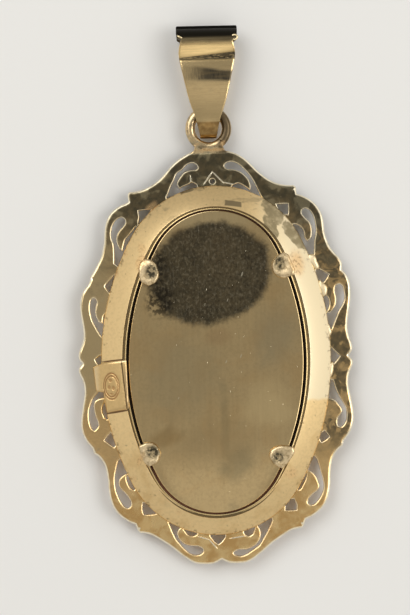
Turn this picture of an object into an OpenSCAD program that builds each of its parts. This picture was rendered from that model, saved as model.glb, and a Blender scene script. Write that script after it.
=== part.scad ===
// Oval painted pendant in gold, lying on its front with the back upwards.
// +Z is up and away from the painted front, +Y runs towards the bail.
// Millimetres. The origin is on the resting plane, below the middle of the bounding box.

/* [Border] */
// Thickness of the pierced border
border_t = 0.7; // [0.5:0.05:0.9]
// Height of the border above the resting plane
border_z = 1.5; // [1.2:0.1:1.8]
// Straight pieces in each span of the border's curves
steps = 4; // [2:1:8]

/* [Bezel] */
// Half width of the bezel, outside the band
bezel_a = 12.08; // [11.8:0.02:12.2]
// Half length of the bezel, outside the band
bezel_b = 18.36; // [18.2:0.02:18.5]
// Half of the angle that a side arc of the bezel's ovals covers, in degrees
side_turn = 28; // [27:0.5:29]
// How far the bezel is turned on the border, in degrees
bezel_turn = -1.5; // [-2:0.1:0]
// Rise of the sloping band, from its outer edge to its lip
band_rise = 1.43; // [1.2:0.01:1.6]
// Height of the band's outer edge above the border
band_edge = 0.12; // [0.08:0.01:0.2]
// Height of the front rim's inner edge above the resting plane
rim_t = 0.4; // [0.3:0.05:0.5]

/* [Back plate] */
// Half width of the well that the plate lies in
well_a = 9.42; // [9.3:0.02:9.5]
// Half length of the well that the plate lies in
well_b = 15.95; // [15.8:0.01:16]
// How far the well is off the bezel's centre, towards the bottom
well_drop = 0.14; // [0:0.01:0.2]
// Gap between the plate and the well, at the sides
side_gap = 0.32; // [0.2:0.02:0.4]
// Gap between the plate and the well, at the two ends
end_gap = 0.2; // [0.1:0.02:0.3]
// Thickness of the plate at its edge
plate_t = 0.36; // [0.3:0.02:0.4]
// How far the plate bulges in the middle
plate_dome = 0.14; // [0:0.02:0.2]

/* [Claws] */
// Width of a claw
claw_w = 2.3; // [2:0.1:2.5]
// Reach of a claw over the plate, from the wall of the well
claw_reach = 1.65; // [1.4:0.05:1.8]

/* [Painted plaque] */
// Gap between the plaque and its seat
plaque_gap = 0.05; // [0.03:0.01:0.1]
// How far the plaque bulges in the middle
plaque_dome = 0.2; // [0.1:0.02:0.24]

/* [Ring and bail] */
// Outer radius of the hanging ring
ring_r = 2.42; // [2.3:0.02:2.5]
// Thickness of the ring's wire
wire_d = 0.95; // [0.9:0.01:1]
// Distance from the border's centre to the ring's centre
ring_y = 24.26; // [24.2:0.02:24.4]
// Thickness of the bail's strap
strap_t = 0.45; // [0.4:0.01:0.5]
// Length of the bar across the top of the bail
bar_w = 6.4; // [6:0.1:6.6]
// Diameter of that bar
bar_d = 0.9; // [0.8:0.02:1]
// How far the bail leans in its ring, in degrees
bail_lean = -0.6; // [-1:0.1:1]

/* [Hidden] */

$fn = 64;
// How far a cut runs past the surface
over = 1;
// Points in each half of a drawn oval
oval_steps = 36;

// The border's outline in the upper right quarter, as lobes between sharp corners.
// Each row is [x, y]. The other quarters mirror it, apart from the middle of the foot.
head_lobe = [[0, 21.84], [1.68, 21.82], [2.94, 21.35], [4.2, 20.4], [5.25, 19.53], [6.3, 18.8],
             [7.35, 18.18], [8.1, 17.98], [8.68, 17.88]];
foot_lobe = [[0, 21.02], [0.85, 21.4], [1.79, 21.45], [2.94, 21.25], [4.2, 20.4], [5.25, 19.53],
             [6.3, 18.8], [7.35, 18.18], [8.1, 17.98], [8.68, 17.88]];
shoulder_lobe = [[8.95, 17.05], [9.75, 16.68], [10.61, 16.0], [11.24, 15.1], [11.6, 13.8], [11.71, 12.2],
                 [11.95, 10.85], [12.45, 9.95], [13.08, 9.45]];
side_lobe = [[13.2, 8.95], [13.9, 8.0], [14.28, 6.9], [14.3, 5.83], [14.08, 4.4], [13.86, 3], [13.98, 1.9],
             [14.36, 1.0], [14.36, 0.5], [13.98, 0]];

// The three scroll openings of a quarter. "edge" runs from the tip of the leaf that stands in the
// opening, round the head of the scroll, to its tail. "back" runs from the band to the leaf's tip.
head_edge = [[4.2, 17.65], [4.28, 18.1], [4.12, 18.65], [3.72, 19.22], [3.15, 19.66], [2.5, 19.9],
             [1.9, 19.95], [1.58, 20.25], [1.8, 20.6], [2.35, 20.7], [3.02, 20.42], [3.62, 19.87],
             [4.12, 19.28], [4.52, 18.65], [4.82, 18], [5.12, 17.35], [5.4, 16.75]];
head_back = [[2.3, 18.15], [2.9, 18.42], [3.5, 18.15], [4.2, 17.65]];
shoulder_edge = [[9.75, 11.35], [10.15, 11.75], [10.35, 12.4], [10.28, 13.1], [9.95, 13.75],
                 [9.55, 14.3], [9.36, 14.85], [9.5, 15.3], [9.88, 15.45], [10.26, 15.2], [10.6, 14.65],
                 [10.77, 14], [10.85, 13.1], [10.75, 12.2], [10.62, 11.3], [10.5, 10.4]];
shoulder_back = [[8.6, 13.45], [9.05, 13.1], [9.35, 12.5], [9.5, 11.9], [9.75, 11.35]];
side_edge = [[12.05, 4.45], [12.4, 4.48], [12.72, 4.9], [12.84, 5.6], [12.76, 6.2], [12.72, 6.75],
             [12.86, 7.13], [13.15, 7.25], [13.44, 6.95], [13.6, 6.3], [13.5, 5.5], [13.2, 4.75],
             [12.82, 4], [12.5, 3.3], [12.25, 2.7]];
side_back = [[11.72, 6.1], [11.93, 5.7], [11.92, 5.1], [12.05, 4.45]];

// The small three-cornered openings at the notches, with their inner corners under the band
shoulder_notch = [[6.72, 16], [8.05, 15.97], [7.9, 14.72], [7, 15]];
side_notch = [[10.92, 9.08], [11.85, 8.4], [11.3, 7.5], [10.6, 8.2]];
waist_notch = [[12, 1], [13, 0], [12, -1], [11.6, 0]];
foot_notch = [[-0.85, -18.25], [0.85, -18.25], [0, -19.6]];
crown_hole = [0.25, 18.72];
crown_hole_r = 0.26;

// How far an opening runs on under the band, as a share of its distance from the centre
tuck = 0.92;

// Heights above the resting plane
border_top = border_z + border_t;
edge_z = border_top + band_edge;
lip_z = edge_z + band_rise;
ledge_z = lip_z - 0.57;
plate_z = ledge_z + 0.03;

// Places across the bezel, measured inwards from its outer oval
collar_out = 1.05;
border_in = 1.35;
collar_in = 1.65;
band_in = 2.25;
rim_in = 2.4;

// The bezel's ovals as [half width, half length]
bezel_oval = [bezel_a, bezel_b];
well_oval = [well_a, well_b];
bezel_at = [0.06, -0.08];
well_at = bezel_at - [0, well_drop];

// Rise of the seat that the plaque lies on, from the rim's edge to the collar
seat_slope = 0.15;

// Section of the bezel as [offset from the outer oval, height]: the collar that holds the plaque,
// the rim folded over its front, and the sloping band
bezel_section = [[-collar_out, 0.35], [-collar_out - 0.35, 0], [-rim_in + 0.2, 0], [-rim_in, 0.12],
                 [-rim_in, rim_t], [-collar_in, rim_t + seat_slope], [-collar_in, edge_z + 0.15],
                 [-band_in, ledge_z - 0.28], [-band_in, lip_z], [0, edge_z],
                 [0, border_z + 0.25], [-collar_out, border_z + 0.2]];

// Section of the lip and the ledge as [offset from the well's wall, height]
lip_w = 0.5;
ledge_w = 0.75;
lip_section = [[-ledge_w, ledge_z - 0.3], [lip_w, ledge_z - 0.3], [lip_w, lip_z - 0.1],
               [lip_w - 0.14, lip_z + 0.06], [0, lip_z + 0.06], [0, ledge_z], [-ledge_w, ledge_z]];

// Outlines of the plate, as [share of its size, height above its underside]
plate_rings = [[0.995, 0], [1, 0.05], [1, plate_t - 0.05], [0.99, plate_t],
               [0.8, plate_t + 0.4 * plate_dome], [0.5, plate_t + 0.8 * plate_dome],
               [0.15, plate_t + plate_dome]];

// Outlines of the plaque's domed front, as [share of the rim's opening, share of the dome's depth]
dome_rings = [[0.2, 1], [0.55, 0.8], [0.85, 0.35], [1, 0]];
rim_gap = 0.08;

// The claws, as [side, distance along the bezel from its middle]
claws = [[-1, 9.25], [1, 10.05], [1, -9.9], [-1, -9.55]];
// Section of a claw, as [distance outwards from the well's wall, height]
claw_section = [[0.95, ledge_z], [0.95, lip_z - 0.2], [0.5, lip_z + 0.36], [0.1, lip_z + 0.55],
                [-claw_reach, lip_z + 0.42], [-claw_reach, lip_z + 0.1], [0, lip_z + 0.18],
                [0.2, lip_z], [0.2, ledge_z]];
// The shallow dish in the top of a claw
dish_r = 3;
dish_depth = 0.12;
dish_at = [-0.5, 0, lip_z + 0.5];

// The assay tag: its outline from above, and the section that it is bent to, as [x, height]
tag_outline = [[-10.17, 0.22], [-11.78, 0.06], [-12.9, -0.45], [-12.62, -2.95], [-11.75, -3.1],
               [-11.57, -5.2], [-9.26, -4.81]];
tag_section = [[-9, lip_z + 0.36], [-11.65, lip_z - 0.38], [-12.95, edge_z + 0.2],
               [-12.95, border_top - 0.15], [-11.5, border_top + 0.2], [-9, ledge_z]];
tag_tilt = atan2(0.74, 2.65);
stamp_at = [-10.85, -2.65, lip_z - 0.157];
stamp_r = [0.83, 1.4];
stamp_depth = 0.08;
stamp_line = 0.16;
stamp_turn = 8;
dot_r = 0.22;
dot_z = 0.12;
stamp_dots = [[-0.28, 0.55], [0.25, 0.75], [-0.3, -0.25], [0.28, -0.05], [0, -0.85]];

// The solder fillet under the ring, as [x, y] on its right side, and how far it lies inside the sheet
fillet_sunk = 0.05;
fillet = [[0, 21.3], [1.98, 21.45], [1.98, 21.72], [1.62, 21.98], [1.49, 22.35], [1.55, 22.6], [0, 22.6]];

// The bail's strap: the line through its middle as [y, height], from the top down the back leaf,
// through the ring and up the front leaf
strap_line = [[34.52, 2.2], [34.4, 3.05], [33.85, 3.68], [33, 3.98], [31.8, 4], [30, 3.82], [27.5, 3.4],
              [25.3, 2.98], [24.3, 2.72], [23.68, 2.35], [23.43, 1.82], [23.6, 1.25], [24.2, 0.78],
              [25.3, 0.48], [27.5, 0.3], [30, 0.26], [32, 0.3], [33.4, 0.56], [34.2, 1.2]];
// Half width of the strap along its length, as [half width, y]
strap_half = [[0.72, 23.1], [0.84, 23.24], [0.9, 23.7], [1.1, 24.6], [1.38, 25.6], [2, 27.5], [2.55, 29.9],
              [2.93, 31.7], [2.92, 32.5], [2.7, 33.6], [2.62, 35.2]];
// The bar across the top of the bail, and the small curl under each of its ends
bar_y = 34.6;
bar_z = 2.25;
curl_r = 0.3;
curl_at = [bar_w / 2 - 0.2, bar_y - 0.62, bar_z + 0.35];

// Middle of the whole part along Y, from the foot of the border to the top of the leaning bail
foot_y = -max([for (p = smooth(foot_lobe)) p[1]]);
bail_top = ring_y + (bar_y + bar_d / 2 - ring_y) * cos(bail_lean) + bar_w / 2 * abs(sin(bail_lean));
box_mid_y = (bail_top + foot_y) / 2;

function point_between(a, b, c, d, t) =
    0.5 * (2 * b + (c - a) * t + (2 * a - 5 * b + 4 * c - d) * t * t + (3 * b - a - 3 * c + d) * t * t * t);

// A smooth line through a row of points, with free ends
function smooth(p, n = steps) = [
    for (i = [0 : len(p) - 2], k = [0 : n - 1])
        point_between(p[max(i - 1, 0)], p[i], p[i + 1], p[min(i + 2, len(p) - 1)], k / n),
    p[len(p) - 1]];

// A smooth closed line through a ring of points
function smooth_ring(p, n) = let (m = len(p)) [
    for (i = [0 : m - 1], k = [0 : n - 1])
        point_between(p[(i + m - 1) % m], p[i], p[(i + 1) % m], p[(i + 2) % m], k / n)];

function backwards(p) = [for (i = [len(p) - 1 : -1 : 0]) p[i]];
function flipped(p, sx, sy) = [for (q = p) [q[0] * sx, q[1] * sy]];

// A four-centre oval [half width, half length]: the radius of its side arcs, that of its end arcs,
// and its outline as points. The side arcs run to side_turn on either side of the X axis.
function side_radius(o) = let (k = (1 - sin(side_turn)) / cos(side_turn)) (o[1] - o[0] * k) / (1 - k);
function end_radius(o) = side_radius(o) - (side_radius(o) - o[0]) / cos(side_turn);
function oval_points(o, n) = let (R = side_radius(o), r = end_radius(o)) [
    for (half = [0, 1], k = [0 : n - 1])
        let (turn = 180 * half, a = -side_turn + 180 * k / n,
             p = a < side_turn ? [o[0] - R + R * cos(a), R * sin(a)]
                               : [r * cos(a), o[1] - r + r * sin(a)])
        [p[0] * cos(turn) - p[1] * sin(turn), p[0] * sin(turn) + p[1] * cos(turn)]];
function grown(o, d) = [o[0] + d, o[1] + d];
function scaled(p, s) = [for (q = p) q * s];

// Moves by a round shift and then by the small rest, so that arcs that should meet do meet
module shift(x, y) {
    near = [round(x * 1000) / 1000, round(y * 1000) / 1000];
    translate(near) translate([x, y] - near) children();
}

// Sweeps a section, drawn as [offset, height], round a four-centre oval
module sweep_oval(o, section) {
    R = side_radius(o);
    r = end_radius(o);
    for (turn = [0, 180]) rotate(turn) {
        shift(o[0] - R, 0) rotate_extrude(start = -side_turn, angle = 2 * side_turn, $fn = 180)
            shift(R, 0) polygon(section);
        shift(0, o[1] - r) rotate_extrude(start = side_turn, angle = 180 - 2 * side_turn, $fn = 90)
            shift(r, 0) polygon(section);
    }
}

// A closed solid through ovals of the same point count, each row [points, height], with flat ends
module loft(rows) {
    n = len(rows[0][0]);
    last = len(rows) - 1;
    points = [for (row = rows) for (p = row[0]) [p[0], p[1], row[1]]];
    sides = [for (j = [0 : last - 1], i = [0 : n - 1]) let (k = (i + 1) % n)
        each [[j * n + i, (j + 1) * n + i, (j + 1) * n + k], [j * n + i, (j + 1) * n + k, j * n + k]]];
    low = [for (i = [0 : n - 1]) i];
    high = [for (i = [n - 1 : -1 : 0]) last * n + i];
    polyhedron(points, concat(sides, [low, high]));
}

module opening(edge, back) {
    polygon(concat(smooth(edge), [edge[len(edge) - 1] * tuck, back[0] * tuck],
                   [for (i = [0 : len(smooth(back)) - 2]) smooth(back)[i]]));
}

// One quarter's three scroll openings and two notches
module quarter_openings() {
    opening(head_edge, head_back);
    opening(shoulder_edge, shoulder_back);
    opening(side_edge, side_back);
    polygon(shoulder_notch);
    polygon(side_notch);
}

module scroll_border() {
    sides = concat(smooth(shoulder_lobe), smooth(side_lobe));
    head = concat(smooth(head_lobe), sides);
    foot = concat(smooth(foot_lobe), sides);
    outline = concat(backwards(head), flipped(head, -1, 1), backwards(flipped(foot, -1, -1)),
                     flipped(foot, 1, -1));
    translate([0, 0, border_z]) linear_extrude(border_t) difference() {
        polygon(outline);
        for (sx = [-1, 1], sy = [-1, 1]) scale([sx, sy]) quarter_openings();
        for (sx = [-1, 1]) scale([sx, 1]) polygon(waist_notch);
        polygon(foot_notch);
        translate(crown_hole) circle(crown_hole_r);
        translate(bezel_at) rotate(bezel_turn)
            polygon(oval_points(grown(bezel_oval, -border_in), oval_steps));
    }
}

// The collar, its rim and the sloping band, with the lip and the ledge of the back plate's well
module bezel() {
    translate(bezel_at) rotate(bezel_turn) sweep_oval(bezel_oval, bezel_section);
    translate(well_at) rotate(bezel_turn) sweep_oval(well_oval, lip_section);
}

// One claw, drawn with X pointing outwards and the wall of the well at x = 0
module claw() {
    difference() {
        intersection() {
            translate([0, claw_w / 2, 0]) rotate([90, 0, 0]) linear_extrude(claw_w) polygon(claw_section);
            union() {
                translate([claw_w / 2 - claw_reach, 0, 0]) cylinder(d = claw_w, h = 2 * lip_z);
                translate([claw_w / 2 - claw_reach, -claw_w / 2, 0]) cube([2 * claw_w, claw_w, 2 * lip_z]);
            }
        }
        translate(dish_at + [0, 0, dish_r - dish_depth]) sphere(dish_r);
    }
}

module four_claws() {
    R = side_radius(well_oval);
    translate(well_at) rotate(bezel_turn)
        for (c = claws) let (a = asin(c[1] / R), turn = c[0] > 0 ? a : 180 - a)
            translate([c[0] * (well_a - R), 0]) rotate(turn) translate([R, 0]) claw();
}

module assay_tag() {
    difference() {
        intersection() {
            translate([0, over, 0]) rotate([90, 0, 0]) linear_extrude(2 * lip_z) polygon(tag_section);
            linear_extrude(2 * lip_z) polygon(tag_outline);
        }
        translate(stamp_at) rotate([0, -tag_tilt, stamp_turn]) {
            translate([0, 0, -stamp_depth]) linear_extrude(over) difference() {
                scale(stamp_r) circle(1);
                scale(stamp_r - [stamp_line, stamp_line]) circle(1);
            }
            for (d = stamp_dots) translate([d[0], d[1], dot_z]) sphere(dot_r);
        }
    }
}

module hanging_ring() {
    ring_z = border_z + border_t / 2;
    translate([0, ring_y, ring_z])
        rotate_extrude() translate([ring_r - wire_d / 2, 0]) circle(d = wire_d);
    translate([0, 0, border_z + fillet_sunk]) linear_extrude(border_t - 2 * fillet_sunk)
        polygon(concat(fillet, backwards([for (p = fillet) if (p[0] > 0) [-p[0], p[1]]])));
}

module scroll_setting() {
    color("#b8a069") {
        scroll_border();
        bezel();
        four_claws();
        assay_tag();
        hanging_ring();
    }
}

module back_plate() {
    edge = oval_points([well_a - side_gap, well_b - end_gap], oval_steps);
    color("#8f7a4e") translate(well_at) rotate(bezel_turn) translate([0, 0, plate_z])
        loft([for (ring = plate_rings) [scaled(edge, ring[0]), ring[1]]]);
}

module painted_plaque() {
    edge = oval_points(grown(bezel_oval, -collar_in - plaque_gap), oval_steps);
    front = oval_points(grown(bezel_oval, -rim_in - rim_gap), oval_steps);
    dome = [for (ring = dome_rings) [scaled(front, ring[0]), rim_t - plaque_gap - ring[1] * plaque_dome]];
    body = [[front, rim_t + plaque_gap], [edge, rim_t + seat_slope + plaque_gap], [edge, edge_z]];
    color("ivory") translate(bezel_at) rotate(bezel_turn) loft(concat(dome, body));
}

module bail() {
    line = smooth_ring(strap_line, steps);
    m = len(line);
    side = [for (i = [0 : m - 1])
        let (d = line[(i + 1) % m] - line[(i + m - 1) % m]) [d[1], -d[0]] / norm(d) * strap_t / 2];
    half = smooth(strap_half);
    color("#c9b078") translate([0, ring_y, 0]) rotate(bail_lean) translate([0, -ring_y, 0]) {
        intersection() {
            translate([-bar_w, 0, 0]) rotate([90, 0, 90]) linear_extrude(2 * bar_w) difference() {
                polygon([for (i = [0 : m - 1]) line[i] + side[i]]);
                polygon([for (i = [0 : m - 1]) line[i] - side[i]]);
            }
            translate([0, 0, -over]) linear_extrude(2 * lip_z)
                polygon(concat(half, backwards(flipped(half, -1, 1))));
        }
        translate([-bar_w / 2, bar_y, bar_z]) rotate([0, 90, 0]) cylinder(d = bar_d, h = bar_w);
        for (s = [-1, 1]) translate([s * curl_at[0], curl_at[1], curl_at[2]]) sphere(curl_r);
    }
}

module place() translate([0, -box_mid_y, 0]) children();

place() scroll_setting();
place() back_plate();
place() painted_plaque();
place() bail();
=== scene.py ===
# %% [markdown]
# # The back of a painted pendant
# This is the back of an oval gold pendant that lies on its painted front.
# A goldsmith makes it from a few kinds of work: sheet pierced with a saw, strip bent round an oval,
# wire closed to a ring, and a strap folded for the chain. Each kind of work gets one maker here.
# The sizes come from the same drawing as the solid model, so every piece lands where that model has it.

# %% Tools and the frame
import functools
import math

import bmesh
import bpy
import numpy as np
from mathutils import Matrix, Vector, geometry


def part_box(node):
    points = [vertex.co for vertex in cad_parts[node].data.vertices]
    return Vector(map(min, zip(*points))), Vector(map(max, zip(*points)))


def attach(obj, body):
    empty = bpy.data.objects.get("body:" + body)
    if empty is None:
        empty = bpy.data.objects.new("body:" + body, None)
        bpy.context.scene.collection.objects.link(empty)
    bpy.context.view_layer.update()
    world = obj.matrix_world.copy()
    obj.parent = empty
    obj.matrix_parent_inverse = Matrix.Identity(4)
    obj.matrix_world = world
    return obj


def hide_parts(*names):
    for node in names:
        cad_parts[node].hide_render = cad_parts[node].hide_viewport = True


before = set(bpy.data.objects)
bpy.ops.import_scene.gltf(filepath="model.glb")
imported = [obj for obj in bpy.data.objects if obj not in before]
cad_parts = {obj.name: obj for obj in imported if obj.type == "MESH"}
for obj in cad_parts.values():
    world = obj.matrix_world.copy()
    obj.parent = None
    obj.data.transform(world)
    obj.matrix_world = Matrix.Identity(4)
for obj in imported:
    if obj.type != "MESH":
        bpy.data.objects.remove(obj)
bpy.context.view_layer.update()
for cad_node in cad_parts:
    low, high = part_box(cad_node)
    print(cad_node, "from", [round(v * 1000, 2) for v in low], "to", [round(v * 1000, 2) for v in high])

# %% [markdown]
# ## From the drawing to the frame
# The drawing is in millimetres, and its zero is the middle of the pierced border.
# The frame is in metres, and its zero lies below the middle of the whole part.
# The plaque's middle is known in both, so it gives the shift between them.

# %% One shift and one scale
MM = 0.001
bezel_at = np.array([0.06, -0.08])
bezel_turn = math.radians(-1.5)
plaque_low, plaque_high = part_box("painted_plaque")
middle_y = bezel_at[1] - (plaque_low.y + plaque_high.y) / 2 / MM


def in_frame(points):
    """Points of the drawing, in millimetres, as points of the frame, in metres."""
    return (np.asarray(points, float) - [0, middle_y, 0]) * MM


print("the drawing's zero lies", round(middle_y, 3), "mm below the frame's")

# %% [markdown]
# ## The camera
# The photograph looks straight down on the pendant, from far enough away that it shows no perspective.
# A long lens does the same. The pendant leans a little in the picture, so the camera is turned instead.

# %% A long lens straight above
PICTURE_LEAN = math.radians(1.8)
PIXEL = 0.105
PICTURE_HEIGHT = 615 * PIXEL
looks_at = np.array([-0.94, -1.32, 2.2])


def placed(name, data):
    """A new object of the scene, made from a mesh, a lens or a light."""
    thing = bpy.data.objects.new(name, data)
    bpy.context.scene.collection.objects.link(thing)
    return thing


lens = bpy.data.cameras.new("straight_above")
lens.sensor_fit = "VERTICAL"
lens.sensor_height = 36
lens.lens = 200
distance = lens.lens / lens.sensor_height * PICTURE_HEIGHT
camera = placed("straight_above", lens)
camera.location = (looks_at + [0, 0, distance]) * MM
camera.rotation_euler = (0, 0, -PICTURE_LEAN)
bpy.context.scene.camera = camera
print("the camera hangs", round(distance), "mm above the border")

# %% [markdown]
# ## Shader maths written as Python
# A material is a graph of nodes. Written node by node, even a short formula fills a page.
# This class wraps one socket, so that the usual signs add the Math nodes by themselves.
# Every other kind of node comes from its one method, add.

# %% The class for shader values
class Tone:
    """One value, colour or vector in a node tree."""

    def __init__(self, tree, socket=None):
        self.tree, self.socket = tree, socket

    def add(self, kind, settings=None, sockets=None, output=0):
        """Adds a node: first its settings, then the values or links of its sockets."""
        node = self.tree.nodes.new(kind)
        for name, value in (settings or {}).items():
            setattr(node, name, value)
        for key, value in (sockets or {}).items():
            socket = pick(node.inputs, key)
            if isinstance(value, Tone):
                self.tree.links.new(value.socket, socket)
            else:
                socket.default_value = value
        if len(node.outputs):
            return Tone(self.tree, pick(node.outputs, output))

    def maths(self, operation, *values):
        return self.add("ShaderNodeMath", {"operation": operation}, dict(enumerate((self,) + values)))

    def __add__(self, other): return self.maths("ADD", other)
    def __mul__(self, other): return self.maths("MULTIPLY", other)
    def __sub__(self, other): return self.maths("SUBTRACT", other)
    def __rsub__(self, other): return (self * -1.0) + other
    def __abs__(self): return self.maths("ABSOLUTE")
    def __pow__(self, other): return self.maths("POWER", other)
    __radd__ = __add__
    __rmul__ = __mul__

    def step(self, low, high):
        """A smooth change from 0 at low to 1 at high."""
        return self.add("ShaderNodeMapRange", {"interpolation_type": "SMOOTHSTEP"},
                        {"Value": self, "From Min": low, "From Max": high})

    def parts(self, axes="XYZ"):
        """A vector's numbers along the axes."""
        return (self.add("ShaderNodeSeparateXYZ", sockets={0: self}, output=axis) for axis in axes)


def pick(sockets, key):
    """The socket with that number, name or identifier. The ones that are switched off are passed over."""
    if isinstance(key, int):
        return sockets[key]
    return next(s for s in sockets if s.enabled and key in (s.name, s.identifier))


def mix(share, first, second):
    """The first colour where share is 0, and the second where it is 1."""
    share_tone = next(t for t in (share, first, second) if isinstance(t, Tone))
    return share_tone.add("ShaderNodeMix", {"data_type": "RGBA"},
                          {"Factor": share, "A": first, "B": second}, "Result")


def most(*shares):
    """The largest of the shares at each point, as where stains overlap."""
    return functools.reduce(lambda one, other: one.maths("MAXIMUM", other), shares)


def least(*shares):
    """The smallest of the shares at each point."""
    return functools.reduce(lambda one, other: one.maths("MINIMUM", other), shares)


def rgb(red, green, blue):
    return (red, green, blue, 1.0)


print("shader values can be added, multiplied and mixed")

# %% [markdown]
# ## Places on the metal
# Every finish reads Object coordinates, because the pieces all share one zero.
# They are turned back into the drawing's millimetres, so a stain is placed by the same numbers as the metal.

# %% Coordinates and noise in millimetres
class Place:
    """Where a point of the surface lies, in the drawing's millimetres."""

    def __init__(self, tree):
        start = Tone(tree)
        spot = start.add("ShaderNodeTexCoord", output="Object")
        spot = start.add("ShaderNodeVectorMath", {"operation": "SCALE"}, {"Vector": spot, "Scale": 1 / MM})
        self.spot = start.add("ShaderNodeVectorMath", {"operation": "ADD"}, {0: spot, 1: (0, middle_y, 0)})
        self.x, self.y, self.z = self.spot.parts()

    def noise(self, size, detail=3, stretch=(1, 1, 1), seed=0.0, warp=0.0):
        """Noise from 0 to 1 whose blobs are about size millimetres wide, times stretch."""
        scale = tuple(1 / (size * s) for s in stretch)
        place = self.spot.add("ShaderNodeMapping", sockets={"Vector": self.spot, "Location": (seed, seed, 0),
                                                           "Scale": scale})
        return self.spot.add("ShaderNodeTexNoise", {"noise_dimensions": "3D"},
                             {"Vector": place, "Scale": 1.0, "Detail": detail, "Distortion": warp})

    def from_point(self, x, y, wide=1.0, long=1.0, turn=0.0):
        """Distance from a point, in half widths of an ellipse."""
        c, s = math.cos(math.radians(turn)), math.sin(math.radians(turn))
        dx, dy = self.x - x, self.y - y
        across, along = (dx * c + dy * s) * (1 / wide), (dy * c - dx * s) * (1 / long)
        return (across * across + along * along) ** 0.5

    def stroke(self, x0, y0, x1, y1, wide):
        """1 along a thin tapering stroke between two points, and 0 beside it."""
        turn = math.degrees(math.atan2(x0 - x1, y1 - y0))
        spot = self.from_point((x0 + x1) / 2, (y0 + y1) / 2, wide, math.hypot(x1 - x0, y1 - y0) / 2, turn)
        return spot.step(1.05, 0.65)


print("patterns are laid out in millimetres")

# %% [markdown]
# ## Worked gold
# Fourteen carat gold that has been sawn, soldered and polished by hand is never one colour.
# It has a warm base, a duller film where polish does not reach, pits, and brown stains beside the solder.
# A coat holds the finish while one layer after another is laid on.

# %% A finish, built up coat by coat
class Coat:
    """A finish in the making: its colour, its roughness and its relief in millimetres."""

    def __init__(self, base, roughness, height):
        self.base, self.roughness, self.height = base, roughness, height

    def tint(self, share, *colour):
        """Lays a colour over the others where share says so: three numbers, or one colour of the tree."""
        self.base = mix(share, self.base, rgb(*colour) if len(colour) == 3 else colour[0])

    def laid_on(self, material, at, metallic, varnish=()):
        """Joins the coat to the material's surface. varnish names more sockets of the surface."""
        bump = at.spot.add("ShaderNodeBump", sockets={"Height": self.height, "Distance": MM, "Strength": 1.0})
        looks = {"Base Color": self.base, "Roughness": self.roughness, "Metallic": metallic, "Normal": bump}
        skin = at.spot.add("ShaderNodeBsdfPrincipled", sockets=looks | dict(varnish), output="BSDF")
        at.spot.add("ShaderNodeOutputMaterial", sockets={"Surface": skin})
        return material


def cleared(holder):
    """The empty node tree of a new material or sky."""
    holder.use_nodes = True
    holder.node_tree.nodes.clear()
    return holder.node_tree


# %% [markdown]
# All the metal shares one gold: clouds of film, fine wear, pits, grain, and the heat stains of soldering.

# %% The finish of all the metal
FILM = rgb(0.30, 0.27, 0.18)


def worked_gold(name, colour, rough=0.15, film=0.3, blob=2.0, pits=0.3, streaks=(1, 1, 1),
                streak_depth=0.0008, dents=0.006, stains=(), marks=None):
    """The gold of one piece. film, pits, streak_depth and dents are amounts, and blob is the size of
    the film's blotches. Each stain is [x, y, wide, long, turn, strength], and marks is the piece's own
    painting."""
    material = bpy.data.materials.new(name)
    at = Place(cleared(material))
    cloud = at.noise(3 * blob, 2, seed=3.1)
    blotch = at.noise(blob, 5, seed=7.7, warp=0.4)
    fine = at.noise(0.32, 4, seed=1.3)
    grain = at.noise(0.2, 3, stretch=streaks, seed=5.0)
    dull = (blotch * 0.65 + cloud * 0.35).step(0.62 - 0.3 * film, 0.78 - 0.2 * film) * min(1.0, 0.35 + film)
    pit = at.noise(0.55, 3, seed=11.0).step(0.68 - 0.06 * pits, 0.75) * pits
    coat = Coat(mix(dull, colour, FILM),
                dull * 0.12 + fine * 0.05 + pit * 0.25 + (rough - 0.03),
                (grain - 0.5) * streak_depth + (at.noise(2.2, 2, seed=2.0) - 0.5) * dents - pit * 0.006)
    coat.tint(fine.step(0.4, 0.72) * 0.2, *(0.55 * c for c in colour[:3]))
    coat.tint(pit, 0.09, 0.055, 0.025)
    if marks:
        marks(at, coat)
    if stains:
        heat = most(*[(at.from_point(*oval_spot) + (blotch - 0.5) * 1.1).step(1.15, 0.35) * strength
                      for *oval_spot, strength in stains]) * at.z.step(1.55, 1.8)
        specks = heat * at.noise(0.3, 4, seed=27.0).step(0.48, 0.64) * 0.5
        coat.tint(heat * 0.7, 0.86, 0.56, 0.26)
        coat.tint(specks, mix(fine.step(0.35, 0.65), rgb(0.30, 0.135, 0.05), rgb(0.09, 0.04, 0.018)))
        coat.roughness += specks * 0.25
        coat.height += specks * fine * 0.012
    return coat.laid_on(material, at, 1.0)


GOLD = rgb(0.86, 0.64, 0.31)
PALE_GOLD = rgb(0.93, 0.76, 0.45)


def gap_shade_and_residue(at):
    """The gap round the plate: black at the sides, which is painted shade, and reddish brown residue at both
    ends.
    """
    brown = most(at.y.step(-8, -14), at.y.step(11, 15) * 0.5)
    return mix(brown, rgb(0.03, 0.02, 0.012), rgb(0.26, 0.12, 0.07))


# %% [markdown]
# ## Lines and ovals
# The border's curves are drawn as a few points each, with a smooth line through them.
# The bezel is a four-centre oval: two long side arcs and two short end arcs that meet without a corner.

# %% Smooth lines and four-centre ovals
def smooth(points, pieces=6, closed=False):
    """A smooth line through a row of points, with that many straight pieces in each span."""
    p = np.asarray(points, float)
    p = np.vstack([p[-1:], p, p[:2]]) if closed else np.vstack([p[:1], p, p[-1:]])
    a, b, c, d = (part[:, None, :] for part in (p[:-3], p[1:-2], p[2:-1], p[3:]))
    t = (np.arange(pieces) / pieces)[None, :, None]
    line = 0.5 * (2 * b + (c - a) * t + (2 * a - 5 * b + 4 * c - d) * t ** 2
                  + (3 * b - a - 3 * c + d) * t ** 3)
    line = line.reshape(-1, p.shape[1])
    return line if closed else np.vstack([line, p[-2]])


SIDE_TURN = math.radians(28)


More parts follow.
